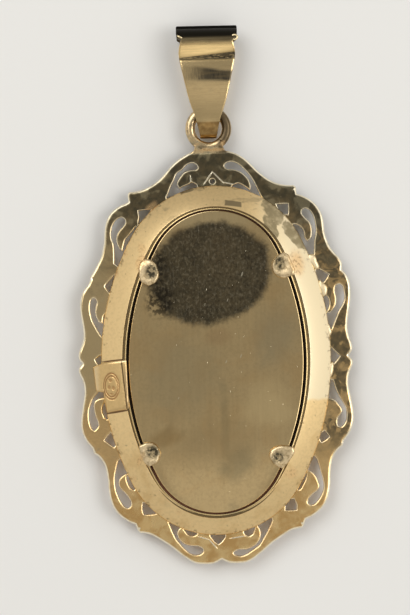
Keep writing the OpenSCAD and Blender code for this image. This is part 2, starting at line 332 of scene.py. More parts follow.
def oval(half_width, half_length, pieces=240):
    """The outline of a four-centre oval round zero, anticlockwise."""
    k = (1 - math.sin(SIDE_TURN)) / math.cos(SIDE_TURN)
    side = (half_length - half_width * k) / (1 - k)
    end = side - (side - half_width) / math.cos(SIDE_TURN)
    a = -SIDE_TURN + math.pi * np.arange(pieces // 2) / (pieces // 2)
    on_side = a < SIDE_TURN
    x = np.where(on_side, half_width - side + side * np.cos(a), end * np.cos(a))
    y = np.where(on_side, side * np.sin(a), half_length - end + end * np.sin(a))
    half = np.column_stack([x, y])
    return np.vstack([half, -half])


def turned(points, angle, shift=(0, 0)):
    c, s = math.cos(angle), math.sin(angle)
    return np.asarray(points, float) @ np.array([[c, s], [-s, c]]) + shift


def circle(count):
    """Points round a circle of radius 1, anticlockwise."""
    angle = np.linspace(0, 2 * math.pi, count, endpoint=False)
    return np.column_stack([np.cos(angle), np.sin(angle)])


print("a four-centre oval has", len(oval(1, 1.5)), "points")

# %% [markdown]
# ## From numbers to a finished piece
# A piece is a mesh whose place is in its vertices, with its seams closed and its faces outwards.
# It rides on the one body of this part, and it stands for the solid that it replaces.

# %% Making one piece
SAME_PLACE, NO_WIDTH = 2e-7, 1e-8
SHARP_CORNER = math.radians(32)


def finished(name, points, faces, material, slot, node):
    """Makes a piece from points of the drawing, closes its seams and hands it to the frame."""
    mesh = bpy.data.meshes.new(name)
    mesh.from_pydata([tuple(p) for p in in_frame(points)], [], [tuple(int(i) for i in f) for f in faces])
    form = bmesh.new()
    form.from_mesh(mesh)
    bmesh.ops.remove_doubles(form, verts=form.verts, dist=SAME_PLACE)
    bmesh.ops.dissolve_degenerate(form, edges=form.edges, dist=NO_WIDTH)
    bmesh.ops.recalc_face_normals(form, faces=form.faces)
    open_edges = sum(not e.is_manifold for e in form.edges)
    form.to_mesh(mesh)
    form.free()
    mesh.shade_smooth()
    mesh.set_sharp_from_angle(angle=SHARP_CORNER)
    mesh.materials.append(material)
    piece = placed(name, mesh)
    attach(piece, "root")
    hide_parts(node)
    mesh.calc_loop_triangles()
    print(name, "has", len(mesh.loop_triangles), "triangles and", open_edges, "open edges")

# %% [markdown]
# ## Sheet metal
# The border, the claws, the tag and the back plate are all cut from sheet, and a file has rounded their
# edges. A bevel tool struggles at sharp sawn tips. Here every point of the outline moves in along its own
# normal, and never further than the middle of the metal, so the rounding runs out towards a tip.

# %% How far each edge may be rounded
DOUBLED, LONGEST = 0.001, 0.4
AT_ONCE = 400


def tidy_outlines(outlines):
    """Turns the first outline anticlockwise and the holes clockwise, drops doubled points, and cuts up
    straight pieces until none is longer than LONGEST."""
    tidy = []
    for k, line in enumerate(outlines):
        p = np.asarray(line, float)
        p = p[np.linalg.norm(p - np.roll(p, 1, axis=0), axis=1) > DOUBLED]
        q = np.roll(p, -1, axis=0)
        area = 0.5 * np.sum(p[:, 0] * q[:, 1] - p[:, 1] * q[:, 0])
        if (area > 0) != (k == 0):
            p = p[::-1]
            q = np.roll(p, -1, axis=0)
        parts = [a + (b - a) * (np.arange(n) / n)[:, None]
                 for a, b in zip(p, q) for n in [max(1, math.ceil(np.linalg.norm(b - a) / LONGEST))]]
        tidy.append(np.vstack(parts))
    return tidy


def normals_and_room(loops):
    """For every outline point: the way into the metal, and the distance to the metal's middle."""
    points = np.vstack(loops)
    ahead = np.vstack([np.roll(p, -1, axis=0) - p for p in loops])
    ahead /= np.linalg.norm(ahead, axis=1)[:, None]
    start, behind = 0, np.empty_like(ahead)
    for p in loops:
        behind[start:start + len(p)] = np.roll(ahead[start:start + len(p)], 1, axis=0)
        start += len(p)
    along = ahead + behind
    along /= np.maximum(np.linalg.norm(along, axis=1), 1e-6)[:, None]
    inward = np.column_stack([-along[:, 1], along[:, 0]])
    room = np.empty(len(points))
    for i in range(0, len(points), AT_ONCE):
        d = points[None] - points[i:i + AT_ONCE, None]
        facing = np.einsum("ijk,ik->ij", d, inward[i:i + AT_ONCE])
        reach = np.where(facing > 1e-5, (d ** 2).sum(2) / np.maximum(2 * facing, 1e-9), np.inf)
        room[i:i + AT_ONCE] = reach.min(1)
    return points, inward, room


def inside(points, loops):
    """Which points lie in the metal: an odd number of outlines crosses the ray to their right."""
    crossings = np.zeros(len(points), int)
    for p in loops:
        q = np.roll(p, -1, axis=0)
        for i in range(0, len(points), AT_ONCE):
            x, y = points[i:i + AT_ONCE, :1], points[i:i + AT_ONCE, 1:]
            spans = (p[:, 1] > y) != (q[:, 1] > y)
            rise = np.where(q[:, 1] == p[:, 1], 1, q[:, 1] - p[:, 1])
            cut = p[:, 0] + (y - p[:, 1]) * (q[:, 0] - p[:, 0]) / rise
            crossings[i:i + AT_ONCE] += (spans & (x < cut)).sum(1)
    return crossings % 2 == 1

# %% [markdown]
# The faces of a sheet get a net of points as well, so that they can be domed, dished or bent.
# A last ring of points lies on the flat just inside the rounding, which keeps the flat's shading true.
# Delaunay triangulation joins that net to the rounded edge without leaving a seam.

# %% The sheet maker
EDGE_DEPTH, EDGE_STEPS = 0.75, 4
LOW_EDGE = 0.06
PAST_EDGE = 1.6
ROUND_ROOM, FLAT_ROOM = 0.75, 0.8
ROW_STEP, NET_CLEAR = 0.87, 0.45


def flat(height):
    return lambda x, y: np.full(np.shape(x), float(height))


def walls_between(layers, following):
    """Faces between layers of points. following gives the next point of a layer for each of its points."""
    n = len(following)
    return [(k * n + i, k * n + j, (k + 1) * n + j, (k + 1) * n + i)
            for k in range(layers - 1) for i, j in enumerate(following)]


def sheet_metal(outlines, top, bottom, edge, net):
    """Points and faces of a sheet between two height functions. edge is the width of its upper rounding,
    one number or one for each outline, and the rounding is EDGE_DEPTH as deep. LOW_EDGE is the rounding
    underneath. Both of them and the last rings of points, PAST_EDGE widths in, stop short of the metal's
    middle. net is the width of the net."""
    loops = tidy_outlines(outlines)
    points, inward, room = normals_and_room(loops)
    n = len(points)
    edges = np.broadcast_to(edge, len(loops))
    width = np.concatenate([np.full(len(p), float(w)) for p, w in zip(loops, edges)])
    rings = []
    reaches = np.append(1 - np.cos(np.linspace(0, math.pi / 2, EDGE_STEPS + 1)), PAST_EDGE)
    low_width = np.full(n, LOW_EDGE)
    for side, wide, deep in ((bottom, low_width, low_width), (top, width, EDGE_DEPTH * width)):
        for reach in (reaches[::-1] if side is bottom else reaches):
            a = np.minimum(reach, (FLAT_ROOM if reach > 1 else ROUND_ROOM) * room / wide)
            drop = deep * (1 - np.sqrt(1 - (1 - np.minimum(a, 1)) ** 2))
            xy = points + inward * (a * wide)[:, None]
            z = side(xy[:, 0], xy[:, 1]) + (drop if side is bottom else -drop)
            rings.append(np.column_stack([xy, z]))
    rim = rings[-1][:, :2]
    ends = np.cumsum([len(p) for p in loops])
    rim_loops = [rim[e - len(p):e] for e, p in zip(ends, loops)]
    low, high = rim.min(0), rim.max(0)
    rows = np.arange(low[1] + net / 3, high[1], net * ROW_STEP)
    grid = np.array([[x, y] for k, y in enumerate(rows)
                     for x in np.arange(low[0] + net / 3 + (k % 2) * net / 2, high[0], net)])
    grid = grid[inside(grid, rim_loops)]
    near = np.array([((rim - g) ** 2).sum(1).min() for g in grid]) if len(grid) else np.zeros(0)
    grid = grid[near > (NET_CLEAR * net) ** 2]
    following = np.concatenate([np.roll(np.arange(e - len(p), e), -1) for e, p in zip(ends, loops)])
    flat_points = [Vector(p) for p in np.vstack([rim, grid])]
    solved = geometry.delaunay_2d_cdt(flat_points, list(zip(range(n), following.tolist())), [], 0, 1e-7)
    spots = np.array([tuple(v) for v in solved[0]])
    source = [o[0] if o else -1 for o in solved[3]]
    corners = np.array([f for f in solved[2] if all(source[i] >= 0 for i in f)])
    corners = corners[inside(spots[corners].mean(1), rim_loops)]
    corners = np.array(source)[corners]
    last = (len(rings) - 1) * n
    first_top = len(rings) * n
    first_low = first_top + len(grid)
    upper = np.where(corners < n, corners + last, corners - n + first_top)
    lower = np.where(corners < n, corners, corners - n + first_low)[:, ::-1]
    nets = [np.column_stack([grid, side(grid[:, 0], grid[:, 1])]) for side in (top, bottom)]
    return np.vstack(rings + nets), walls_between(len(rings), following) + upper.tolist() + lower.tolist()


print("sheet metal can be cut, rounded and bent")

# %% [markdown]
# ## Strip and wire
# The sloping band, its lip, the ring and the bail's strap each keep one section along a path.
# Geometry Nodes do this well: Curve to Mesh carries a section along a line, and the line's normal is set,
# so that the section never rolls. Each path point also says how far the section spreads along that normal,
# which lets one tree make an even band and a tapering strap.

# %% The tree that sweeps a section along a path
def sweeping_tree():
    tree = bpy.data.node_groups.new("swept_metal", "GeometryNodeTree")
    for name, kind in (("Path", "NodeSocketGeometry"), ("Section", "NodeSocketObject"),
                       ("Side", "NodeSocketVector")):
        tree.interface.new_socket(name, in_out="INPUT", socket_type=kind)
    tree.interface.new_socket("Metal", in_out="OUTPUT", socket_type="NodeSocketGeometry")
    start = Tone(tree)
    given = tree.nodes.new("NodeGroupInput")
    path, section, side = (Tone(tree, given.outputs[k]) for k in range(3))
    line = start.add("GeometryNodeMeshToCurve", sockets={"Mesh": path})
    line = start.add("GeometryNodeSetCurveNormal", {"mode": "FREE"}, {"Curve": line, "Normal": side})
    shape = start.add("GeometryNodeObjectInfo", sockets={"Object": section}, output="Geometry")
    shape = start.add("GeometryNodeMeshToCurve", sockets={"Mesh": shape})
    metal = start.add("GeometryNodeCurveToMesh", sockets={"Curve": line, "Profile Curve": shape})
    spread = start.add("GeometryNodeInputNamedAttribute", {"data_type": "FLOAT"}, {"Name": "spread"},
                       "Attribute")
    here = start.add("GeometryNodeInputPosition")
    across = start.add("ShaderNodeVectorMath", {"operation": "DOT_PRODUCT"}, {0: here, 1: side}, "Value")
    shift = start.add("ShaderNodeVectorMath", {"operation": "SCALE"},
                      {"Vector": side, "Scale": across * (spread - 1.0)})
    metal = start.add("GeometryNodeSetPosition", sockets={"Geometry": metal, "Offset": shift})
    start.add("NodeGroupOutput", sockets={0: metal})
    return tree


swept_metal = sweeping_tree()
UP, RIGHT = (0, 0, 1), (1, 0, 0)


def closed_line(name, points, spread=1.0):
    """A closed line of edges, as an object. Each point holds its spread."""
    n = len(points)
    mesh = bpy.data.meshes.new(name)
    mesh.from_pydata([tuple(p) for p in points], [(i, (i + 1) % n) for i in range(n)], [])
    spreads = mesh.attributes.new("spread", "FLOAT", "POINT").data
    spreads.foreach_set("value", np.broadcast_to(spread, n).astype(np.float32))
    return placed(name, mesh)


def swept(path, section, side, spread=1.0):
    """Points and faces of a section, drawn as [along side, outwards], carried round a closed path."""
    track = closed_line("track", path, spread)
    profile = closed_line("profile", np.column_stack([section, np.zeros(len(section))]))
    sweep = track.modifiers.new("sweep", "NODES")
    sweep.node_group = swept_metal
    inputs = [item for item in swept_metal.interface.items_tree if item.in_out == "INPUT"]
    names = {item.name: item.identifier for item in inputs}
    sweep[names["Section"]] = profile
    sweep[names["Side"]] = side
    bpy.context.view_layer.update()
    result = bpy.data.meshes.new_from_object(track.evaluated_get(bpy.context.evaluated_depsgraph_get()))
    points = np.array([v.co[:] for v in result.vertices])
    faces = [list(f.vertices) for f in result.polygons]
    for scratch in (track, profile):
        bpy.data.objects.remove(scratch)
    bpy.data.meshes.remove(result)
    return points, faces


CORNER_ROOM = 0.45


def soft_corners(section, radius, pieces=3):
    """Rounds the corners of a closed section. radius is a number, or one for each corner, and no corner
    takes more than its share of the line, CORNER_ROOM."""
    p = np.asarray(section, float)
    rounded = []
    for k, here in enumerate(p):
        before, after = p[k - 1] - here, p[(k + 1) % len(p)] - here
        back, on = np.linalg.norm(before), np.linalg.norm(after)
        r = min(radius if np.isscalar(radius) else radius[k], CORNER_ROOM * back, CORNER_ROOM * on)
        start, end = here + before / back * r, here + after / on * r
        for t in np.linspace(0, 1, pieces + 1):
            rounded.append((1 - t) ** 2 * start + 2 * t * (1 - t) * here + t ** 2 * end)
    return np.array(rounded)


print("the sweeping tree has", len(swept_metal.nodes), "nodes")

# %% [markdown]
# ## The bezel band
# The band is a strip that slopes up to a low lip round the back plate, and its foot folds over the painted
# plaque on the other side. It was soldered on by hand, a degree and a half askew.

# %% Heights and ovals of the bezel
edge_z, lip_z, ledge_z, plate_z = 2.32, 3.75, 3.18, 3.21
bezel_a, bezel_b = 12.08, 18.36
well_a, well_b = 9.42, 15.95
well_at = bezel_at - [0, 0.14]

band_section = [[-1.05, 0.35], [-1.4, 0], [-2.2, 0], [-2.4, 0.12], [-2.4, 0.4], [-1.65, 0.55], [-1.65, 2.47],
                [-2.25, 2.9], [-2.25, lip_z], [0, edge_z], [0, 1.75], [-1.05, 1.7]]
band_soft = [0.1, 0.15, 0.15, 0.08, 0.06, 0.05, 0.05, 0.05, 0.1, 0.16, 0.08, 0.05]
lip_section = [[-0.75, 2.88], [0.43, 2.88], [0.43, 3.5], [0.36, 3.66], [0.2, 3.64], [0.14, 3.75],
               [0.1, 3.775], [0.02, 3.785], [0, ledge_z], [-0.75, ledge_z]]


def on_path(outline, place):
    flat_line = turned(outline, bezel_turn, place)
    return np.column_stack([flat_line, np.zeros(len(flat_line))])


def band_marks(at, coat):
    """The right side is painted pale, a painted highlight, down to a soft step. Smears and a torn grey cloud
    lie at the top, grime at the foot of the slope, and two painted shadow lines along the tag's top and
    bottom edges."""
    on_back = at.z.step(2.1, 2.3)
    uneven = (at.noise(0.9, 3, seed=15.0) - 0.5) * 0.5
    # painted highlight: the right side of the band is painted pale, down to a soft step
    right_highlight = at.x.step(3.5, 8.5) * (at.y + uneven).step(-4.7, -4.3)
    coat.tint(right_highlight, 0.97, 0.82, 0.54)
    brown = at.noise(1.8, 4, seed=18.0).step(0.45, 0.7) * at.y.step(-3, -12) * 0.4
    coat.tint(brown, 0.66, 0.42, 0.16)
    smear = at.noise(1.1, 3, stretch=(1.6, 0.7, 1), seed=4.0).step(0.58, 0.68) * at.y.step(13, 16) * 0.4
    scrap = abs(at.x - 2.35 + uneven * 0.5).step(0.95, 0.8)
    scrap = scrap * abs(at.y + at.x * 0.14 - 16.6 + uneven * 0.3).step(0.34, 0.24)
    smear = most(smear, scrap, at.stroke(-3.4, 17.55, -1.5, 17.95, 0.18)) * 0.85
    coat.tint(smear * on_back, 0.24, 0.19, 0.11)
    grime = at.z.step(2.7, 2.4) * at.noise(0.45, 4, seed=33.0).step(0.56, 0.66) * 0.6
    coat.tint(grime * on_back, 0.17, 0.10, 0.04)
    torn = (at.noise(0.9, 3, seed=9.0, warp=0.6) - 0.5) * 0.9
    cloud = least(at.from_point(6.5, 15.4, 0.8, 1.6, 32), at.from_point(6.2, 13.7, 0.6, 1.3, 25),
                  at.from_point(8.8, 12.7, 0.75, 2.0, 38))
    grey = (cloud + torn).step(1.1, 0.9) * (at.noise(0.6, 3, seed=10.0).step(0.3, 0.6) * 0.3 + 0.65)
    coat.tint(grey * on_back, 0.31, 0.25, 0.14)
    # painted shadow: two dark lines along the tag's top and bottom edges
    shadow = most(at.stroke(-12.4, 0.08, -8.6, 0.41, 0.1), at.stroke(-12.2, -5.42, -8.6, -4.87, 0.12))
    coat.tint(shadow * on_back, 0.20, 0.12, 0.06)


def lip_marks(at, coat):
    """Painted shade in the groove between the band and the lip's bright edge, and down its wall into the gap.
    """
    # painted shade in the groove beside the lip's bright edge
    coat.tint(at.z.step(3.745, 3.70) * 0.85, 0.12, 0.08, 0.035)
    # painted shade, with residue at the ends, down the lip's wall into the gap
    into_gap = at.z.step(3.56, 3.5)
    coat.tint(into_gap, gap_shade_and_residue(at))
    coat.roughness += into_gap * 0.35


claw_stains = [(-7.5, 10.4, 0.6, 1.0, -20, 0.9), (8.8, 9.9, 0.95, 1.6, 12, 1.0),
               (7.6, -12.1, 0.9, 0.7, 0, 0.7), (-8.2, -10.2, 0.35, 0.9, -25, 0.8)]
band_specks = [(-7.4, 11.9, 0.5, 0.7, 20, 0.6), (-9.1, 11.5, 0.4, 0.6, 0, 0.5),
               (-10.2, 9.5, 0.4, 0.7, 10, 0.6), (-9.0, -12.2, 0.5, 0.4, 0, 0.45),
               (-4.3, -15.9, 0.4, 0.3, 0, 0.4)]
band_gold = worked_gold("band_gold", rgb(0.94, 0.69, 0.345), rough=0.3, film=0.05, pits=0.35,
                        stains=claw_stains + band_specks, marks=band_marks)
lip_gold = worked_gold("lip_gold", GOLD, rough=0.25, film=0.3, marks=lip_marks)
band = swept(on_path(oval(bezel_a, bezel_b, 360), bezel_at),
             soft_corners(band_section, band_soft)[:, ::-1], UP)
finished("oval_band", *band, band_gold, "gold_setting", "scroll_setting")
lip = swept(on_path(oval(well_a, well_b, 360), well_at), soft_corners(lip_section, 0.03)[:, ::-1], UP)
finished("plate_lip", *lip, lip_gold, "gold_setting", "scroll_setting")

# %% [markdown]
# ## The pierced border
# The border is one sheet with openings sawn in it. The saw went round each quarter by hand, so no two
# quarters quite match, and each has its own lines here. A leaf's tip often ends under the band.
# Openings and notches are drawn as if in the upper right, and two signs name their quarter.

# %% The border's lines
def pairs(numbers):
    """Points from a row that gives x, y, x, y and so on."""
    return np.reshape(numbers, (-1, 2))


upper_left = [
    [0, 21.84, -1.74, 21.82, -2.36, 21.63, -3.07, 21.23, -3.61, 20.84, -4.15, 20.34, -4.61, 19.82,
     -5.15, 19.25, -5.6, 18.86, -6.13, 18.51, -6.76, 18.19, -7.38, 17.99, -7.99, 17.88, -8.4, 17.86,
     -8.6, 17.78, -8.69, 17.6, -8.7, 17.35],
    [-8.64, 16.85, -8.91, 16.69, -9.44, 16.49, -9.97, 16.19, -10.42, 15.82, -10.79, 15.34, -11.03, 14.83,
     -11.21, 14.13, -11.28, 13.43, -11.34, 12.74, -11.47, 12.04, -11.61, 11.43, -11.8, 10.91,
     -12.08, 10.39, -12.36, 9.88, -12.63, 9.45, -12.87, 9.05],
    [-12.94, 8.67, -13.11, 8.31, -13.47, 7.85, -13.81, 7.3, -14.0, 6.6, -14.06, 5.9, -14.01, 5.2,
     -13.88, 4.3, -13.78, 3.3, -13.83, 2.48, -14.08, 1.76, -14.34, 1.1, -14.34, 0.5, -13.98, 0]]
upper_right = [
    [0, 21.84, 1.68, 21.86, 2.3, 21.76, 2.89, 21.53, 3.49, 21.16, 4.0, 20.74, 4.51, 20.2, 5.02, 19.66,
     5.53, 19.21, 6.13, 18.75, 6.82, 18.38, 7.51, 18.17, 8.21, 18.07, 8.72, 18.05, 8.98, 17.87],
    [9.05, 17.12, 9.49, 16.98, 10.09, 16.7, 10.61, 16.33, 11.08, 15.85, 11.45, 15.26, 11.69, 14.64,
     11.79, 13.93, 11.84, 13.23, 11.97, 12.53, 12.21, 11.82, 12.49, 11.25, 12.88, 10.75, 13.28, 10.3,
     13.52, 9.85, 13.58, 9.5],
    [13.53, 9.01, 13.92, 8.6, 14.18, 8.1, 14.34, 7.5, 14.38, 6.8, 14.36, 6.1, 14.28, 5.4, 14.14, 4.6,
     14.0, 3.7, 13.95, 2.87, 14.08, 2.03, 14.33, 1.22, 14.37, 0.6, 13.98, 0]]
lower = [
    [0, 21.02, 0.85, 21.39, 1.79, 21.44, 2.94, 21.25, 4.2, 20.4, 5.25, 19.53, 6.3, 18.8, 7.35, 18.18,
     8.1, 17.98, 8.48, 17.93, 8.7, 17.74],
    [8.95, 17.05, 9.75, 16.68, 10.61, 16.0, 11.24, 15.1, 11.6, 13.8, 11.71, 12.2, 11.95, 10.85,
     12.45, 9.95, 13.08, 9.45],
    [13.2, 8.95, 13.9, 8.0, 14.28, 6.9, 14.3, 5.83, 14.08, 4.4, 13.86, 3, 13.98, 1.9, 14.36, 1.0,
     14.36, 0.5, 13.98, 0]]
openings = {
    (-1, 1): [
        ([3.25, 18.0, 3.49, 18.52, 3.4, 18.86, 3.1, 19.31, 2.68, 19.75, 2.05, 19.96, 1.48, 20.0,
          1.27, 20.22, 1.41, 20.51, 1.86, 20.69, 2.43, 20.48, 2.85, 20.04, 3.43, 19.66, 3.73, 19.04,
          4.1, 18.32, 4.34, 17.75, 4.6, 17.2],
         [1.42, 18.4, 1.92, 18.65, 2.33, 18.45, 2.9, 18.22]),
        ([9.43, 11.63, 9.76, 11.95, 9.98, 12.46, 10.04, 13.04, 9.88, 13.6, 9.41, 14.16, 9.08, 14.6,
          9.1, 15.0, 9.43, 15.2, 9.95, 14.97, 10.37, 14.36, 10.54, 13.62, 10.5, 12.94, 10.3, 12.36,
          10.27, 11.33, 10.3, 10.4],
         [7.93, 14.22, 8.52, 13.5, 9.05, 12.89, 9.24, 12.33]),
        ([11.72, 4.13, 11.94, 4.17, 12.24, 4.47, 12.43, 4.93, 12.5, 5.44, 12.42, 5.95, 12.31, 6.4,
          12.43, 6.75, 12.72, 6.79, 12.9, 6.48, 12.99, 6.03, 12.99, 5.46, 12.89, 4.88, 12.74, 4.37,
          12.52, 3.91, 12.31, 3.5, 12.09, 3.09, 11.88, 2.75],
         [11.42, 5.18, 11.6, 4.84, 11.67, 4.5])],
    (1, 1): [
        ([4.2, 17.65, 4.28, 18.1, 4.12, 18.65, 3.72, 19.22, 3.15, 19.66, 2.5, 19.9, 1.9, 19.95,
          1.58, 20.25, 1.8, 20.6, 2.35, 20.7, 3.02, 20.42, 3.62, 19.87, 4.12, 19.28, 4.52, 18.65,
          4.82, 18.0, 5.12, 17.35, 5.4, 16.75],
         [2.3, 18.15, 2.9, 18.42, 3.5, 18.15]),
        ([10.04, 12.12, 10.39, 12.39, 10.54, 12.84, 10.54, 13.53, 10.33, 14.1, 9.89, 14.57, 9.57, 15.0,
          9.57, 15.32, 9.81, 15.54, 10.21, 15.47, 10.59, 15.01, 10.8, 14.43, 10.94, 13.51, 10.92, 12.95,
          10.75, 12.27, 10.71, 11.47, 10.63, 10.73],
         [8.6, 13.95, 8.9, 13.92, 9.35, 13.68, 9.64, 13.21, 9.74, 12.53]),
        ([11.75, 4.5, 12.14, 4.53, 12.45, 4.77, 12.73, 5.16, 12.88, 5.67, 12.87, 6.24, 12.76, 6.81,
          12.85, 7.29, 13.2, 7.5, 13.51, 7.33, 13.64, 6.9, 13.73, 6.33, 13.69, 5.87, 13.5, 5.4,
          13.26, 5.03, 13.02, 4.62, 12.81, 4.13, 12.6, 3.63, 12.4, 3.18, 12.14, 2.67],
         [11.6, 6.35, 11.85, 6.3, 12.02, 6.13, 12.14, 5.64, 12.05, 5.18, 11.93, 4.9])],
    (1, -1): [
        ([3.75, 17.2, 3.96, 17.67, 4.11, 17.92, 4.21, 18.36, 4.15, 18.81, 3.91, 19.26, 3.58, 19.61,
          3.17, 19.83, 2.71, 20.02, 2.2, 20.05, 1.69, 20.08, 1.3, 20.34, 1.5, 20.61, 2.01, 20.7,
          2.58, 20.53, 3.05, 20.24, 3.51, 19.95, 3.92, 19.66, 4.25, 19.21, 4.48, 18.82, 4.78, 18.32,
          5.14, 17.65, 5.4, 17.05],
         [2.45, 18.1, 2.5, 18.36, 2.81, 18.62, 3.25, 18.47, 3.52, 17.9]),
        ([9.1, 11.9, 9.57, 11.98, 9.93, 12.27, 10.18, 12.62, 10.37, 13.09, 10.51, 13.57, 10.4, 13.94,
          10.07, 14.24, 9.68, 14.52, 9.36, 14.9, 9.24, 15.31, 9.51, 15.56, 9.95, 15.46, 10.35, 15.04,
          10.66, 14.52, 10.88, 13.96, 10.92, 13.33, 10.8, 12.64, 10.62, 11.95, 10.47, 11.32, 10.29, 10.75],
         [8.25, 13.95, 8.48, 13.85, 8.75, 13.4, 9.0, 12.9, 9.16, 12.4]),
        ([11.45, 4.4, 12.03, 4.48, 12.48, 4.71, 12.8, 5.09, 13.08, 5.5, 13.14, 5.9, 12.88, 6.27,
          12.67, 6.57, 12.61, 6.97, 12.71, 7.37, 13.02, 7.43, 13.33, 7.12, 13.52, 6.71, 13.57, 6.14,
          13.53, 5.61, 13.35, 5.17, 13.07, 4.68, 12.8, 4.18, 12.59, 3.68, 12.41, 3.14, 12.26, 2.57],
         [11.2, 5.4, 11.3, 4.95])],
    (-1, -1): [
        ([4.12, 17.44, 4.31, 17.56, 4.49, 17.72, 4.62, 18.14, 4.46, 18.66, 4.13, 19.07, 3.69, 19.36,
          3.06, 19.5, 2.44, 19.57, 2.03, 19.78, 1.95, 20.12, 2.3, 20.41, 2.81, 20.45, 3.32, 20.26,
          3.82, 19.82, 4.31, 19.25, 4.69, 18.75, 4.98, 18.13, 5.22, 17.49, 5.43, 16.94],
         [2.5, 18.0, 2.57, 18.28, 2.98, 18.45, 3.43, 18.32, 3.75, 17.9, 3.96, 17.55]),
        ([9.45, 11.72, 9.82, 11.71, 10.21, 11.93, 10.49, 12.26, 10.59, 12.65, 10.52, 13.06, 10.22, 13.46,
          9.84, 13.87, 9.53, 14.34, 9.36, 14.72, 9.4, 15.08, 9.67, 15.28, 9.99, 15.2, 10.34, 14.74,
          10.64, 14.13, 10.85, 13.44, 10.94, 12.76, 10.94, 12.07, 10.81, 11.4, 10.67, 10.83, 10.52, 10.32],
         [8.97, 13.41, 9.25, 13.32, 9.52, 12.92, 9.68, 12.46, 9.7, 12.02]),
        ([11.5, 3.6, 12.13, 3.65, 12.54, 3.78, 12.83, 4.0, 12.96, 4.45, 12.92, 4.97, 12.82, 5.48,
          12.66, 5.94, 12.56, 6.23, 12.54, 6.52, 12.69, 6.8, 12.95, 7.04, 13.09, 6.99, 13.31, 6.61,
          13.44, 6.03, 13.46, 5.35, 13.37, 4.78, 13.18, 4.22, 12.96, 3.71, 12.64, 3.32, 12.28, 2.94],
         [11.5, 5.86, 11.75, 5.84, 11.91, 5.51, 12.03, 5.05, 11.95, 4.5])]}
notches = {
    (-1, 1): [
        [6.3, 15.95, 7.63, 15.86, 7.5, 15.23, 7.68, 14.4, 7.0, 14.9],
        [10.3, 9.25, 11.37, 8.07, 10.95, 7.35, 10.3, 8.0],
        [11.9, 0.9, 12.63, 0.38, 12.5, 0.1, 12.0, -0.6, 11.5, 0.1]],
    (1, 1): [
        [6.9, 16.1, 8.12, 16.11, 8.06, 15.0, 7.3, 15.2],
        [10.9, 9.3, 12.15, 8.58, 11.5, 7.65, 10.8, 8.3],
        [12.15, 0.9, 13.04, -0.03, 12.43, -0.75, 12.15, -0.95, 11.5, 0.0]],
    (1, -1): [
        [6.85, 16.05, 7.99, 16.05, 8.01, 15.5, 7.77, 14.9, 7.0, 15.0],
        [11.24, 7.85, 11.68, 8.48, 10.85, 9.05, 10.6, 8.2]],
    (-1, -1): [
        [6.75, 16.0, 8.02, 16.05, 8.14, 15.58, 8.1, 14.8, 7.0, 15.0],
        [11.28, 7.35, 11.91, 8.15, 10.95, 8.9, 10.6, 8.2]]}
foot_notch = [-1.12, -18.15, -1.1, -18.5, -0.68, -19.1, -0.31, -19.4, 0.06, -19.08, 0.42, -18.62, 0.4, -18.15]
EYE_R, UNDER_BAND, TUCK = 0.26, 1.35, 0.6
tuck_line = turned(oval(bezel_a - TUCK, bezel_b - TUCK), bezel_turn, bezel_at)


def opening(edge, back):
    """An opening: round the leaf, out along its outer side, under the band and back to the leaf's tip."""
    reach = np.linalg.norm(tuck_line, axis=1)
    under = [tuck_line[np.argmax(tuck_line @ p / reach)] for p in (edge[-1], back[0])]
    return np.vstack([smooth(edge), under, smooth(np.vstack([back, edge[:1]]))[:-1]])


# %% [markdown]
# The outline runs over the head from right to left. At the foot, the right quarter mirrors the left one.

# %% Cutting the border
right, left, low = (np.vstack([smooth(pairs(lobe)) for lobe in lobes])
                    for lobes in (upper_right, upper_left, lower))
border_lines = [np.vstack([right[::-1], left, (low * [-1, -1])[::-1], low * [1, -1]])]
for (sx, sy), lines in openings.items():
    border_lines += [opening(pairs(edge) * [sx, sy], pairs(back) * [sx, sy]) for edge, back in lines]
    border_lines += [pairs(notch) * [sx, sy] for notch in notches[sx, sy]]
border_lines += [pairs(foot_notch), circle(14) * EYE_R + [0.25, 18.72],
                 turned(oval(bezel_a - UNDER_BAND, bezel_b - UNDER_BAND), bezel_turn, bezel_at)]
tendril_ends = [(0.2, 19.8, 1.5, 18.4), (-2.0, 18.1, -2.05, 19.5), (1.3, 18.6, 2.5, 18.3),
                (-2.5, -18.5, -1.2, -18.9), (-1.4, -18.75, -0.4, -19.9), (0.8, -18.85, 2.6, -18.6)]


def border_top(x, y):
    return 2.195 + 0.005 * np.sin(0.9 * x + 1) * np.sin(0.7 * y) * np.cos(0.31 * (x + y))


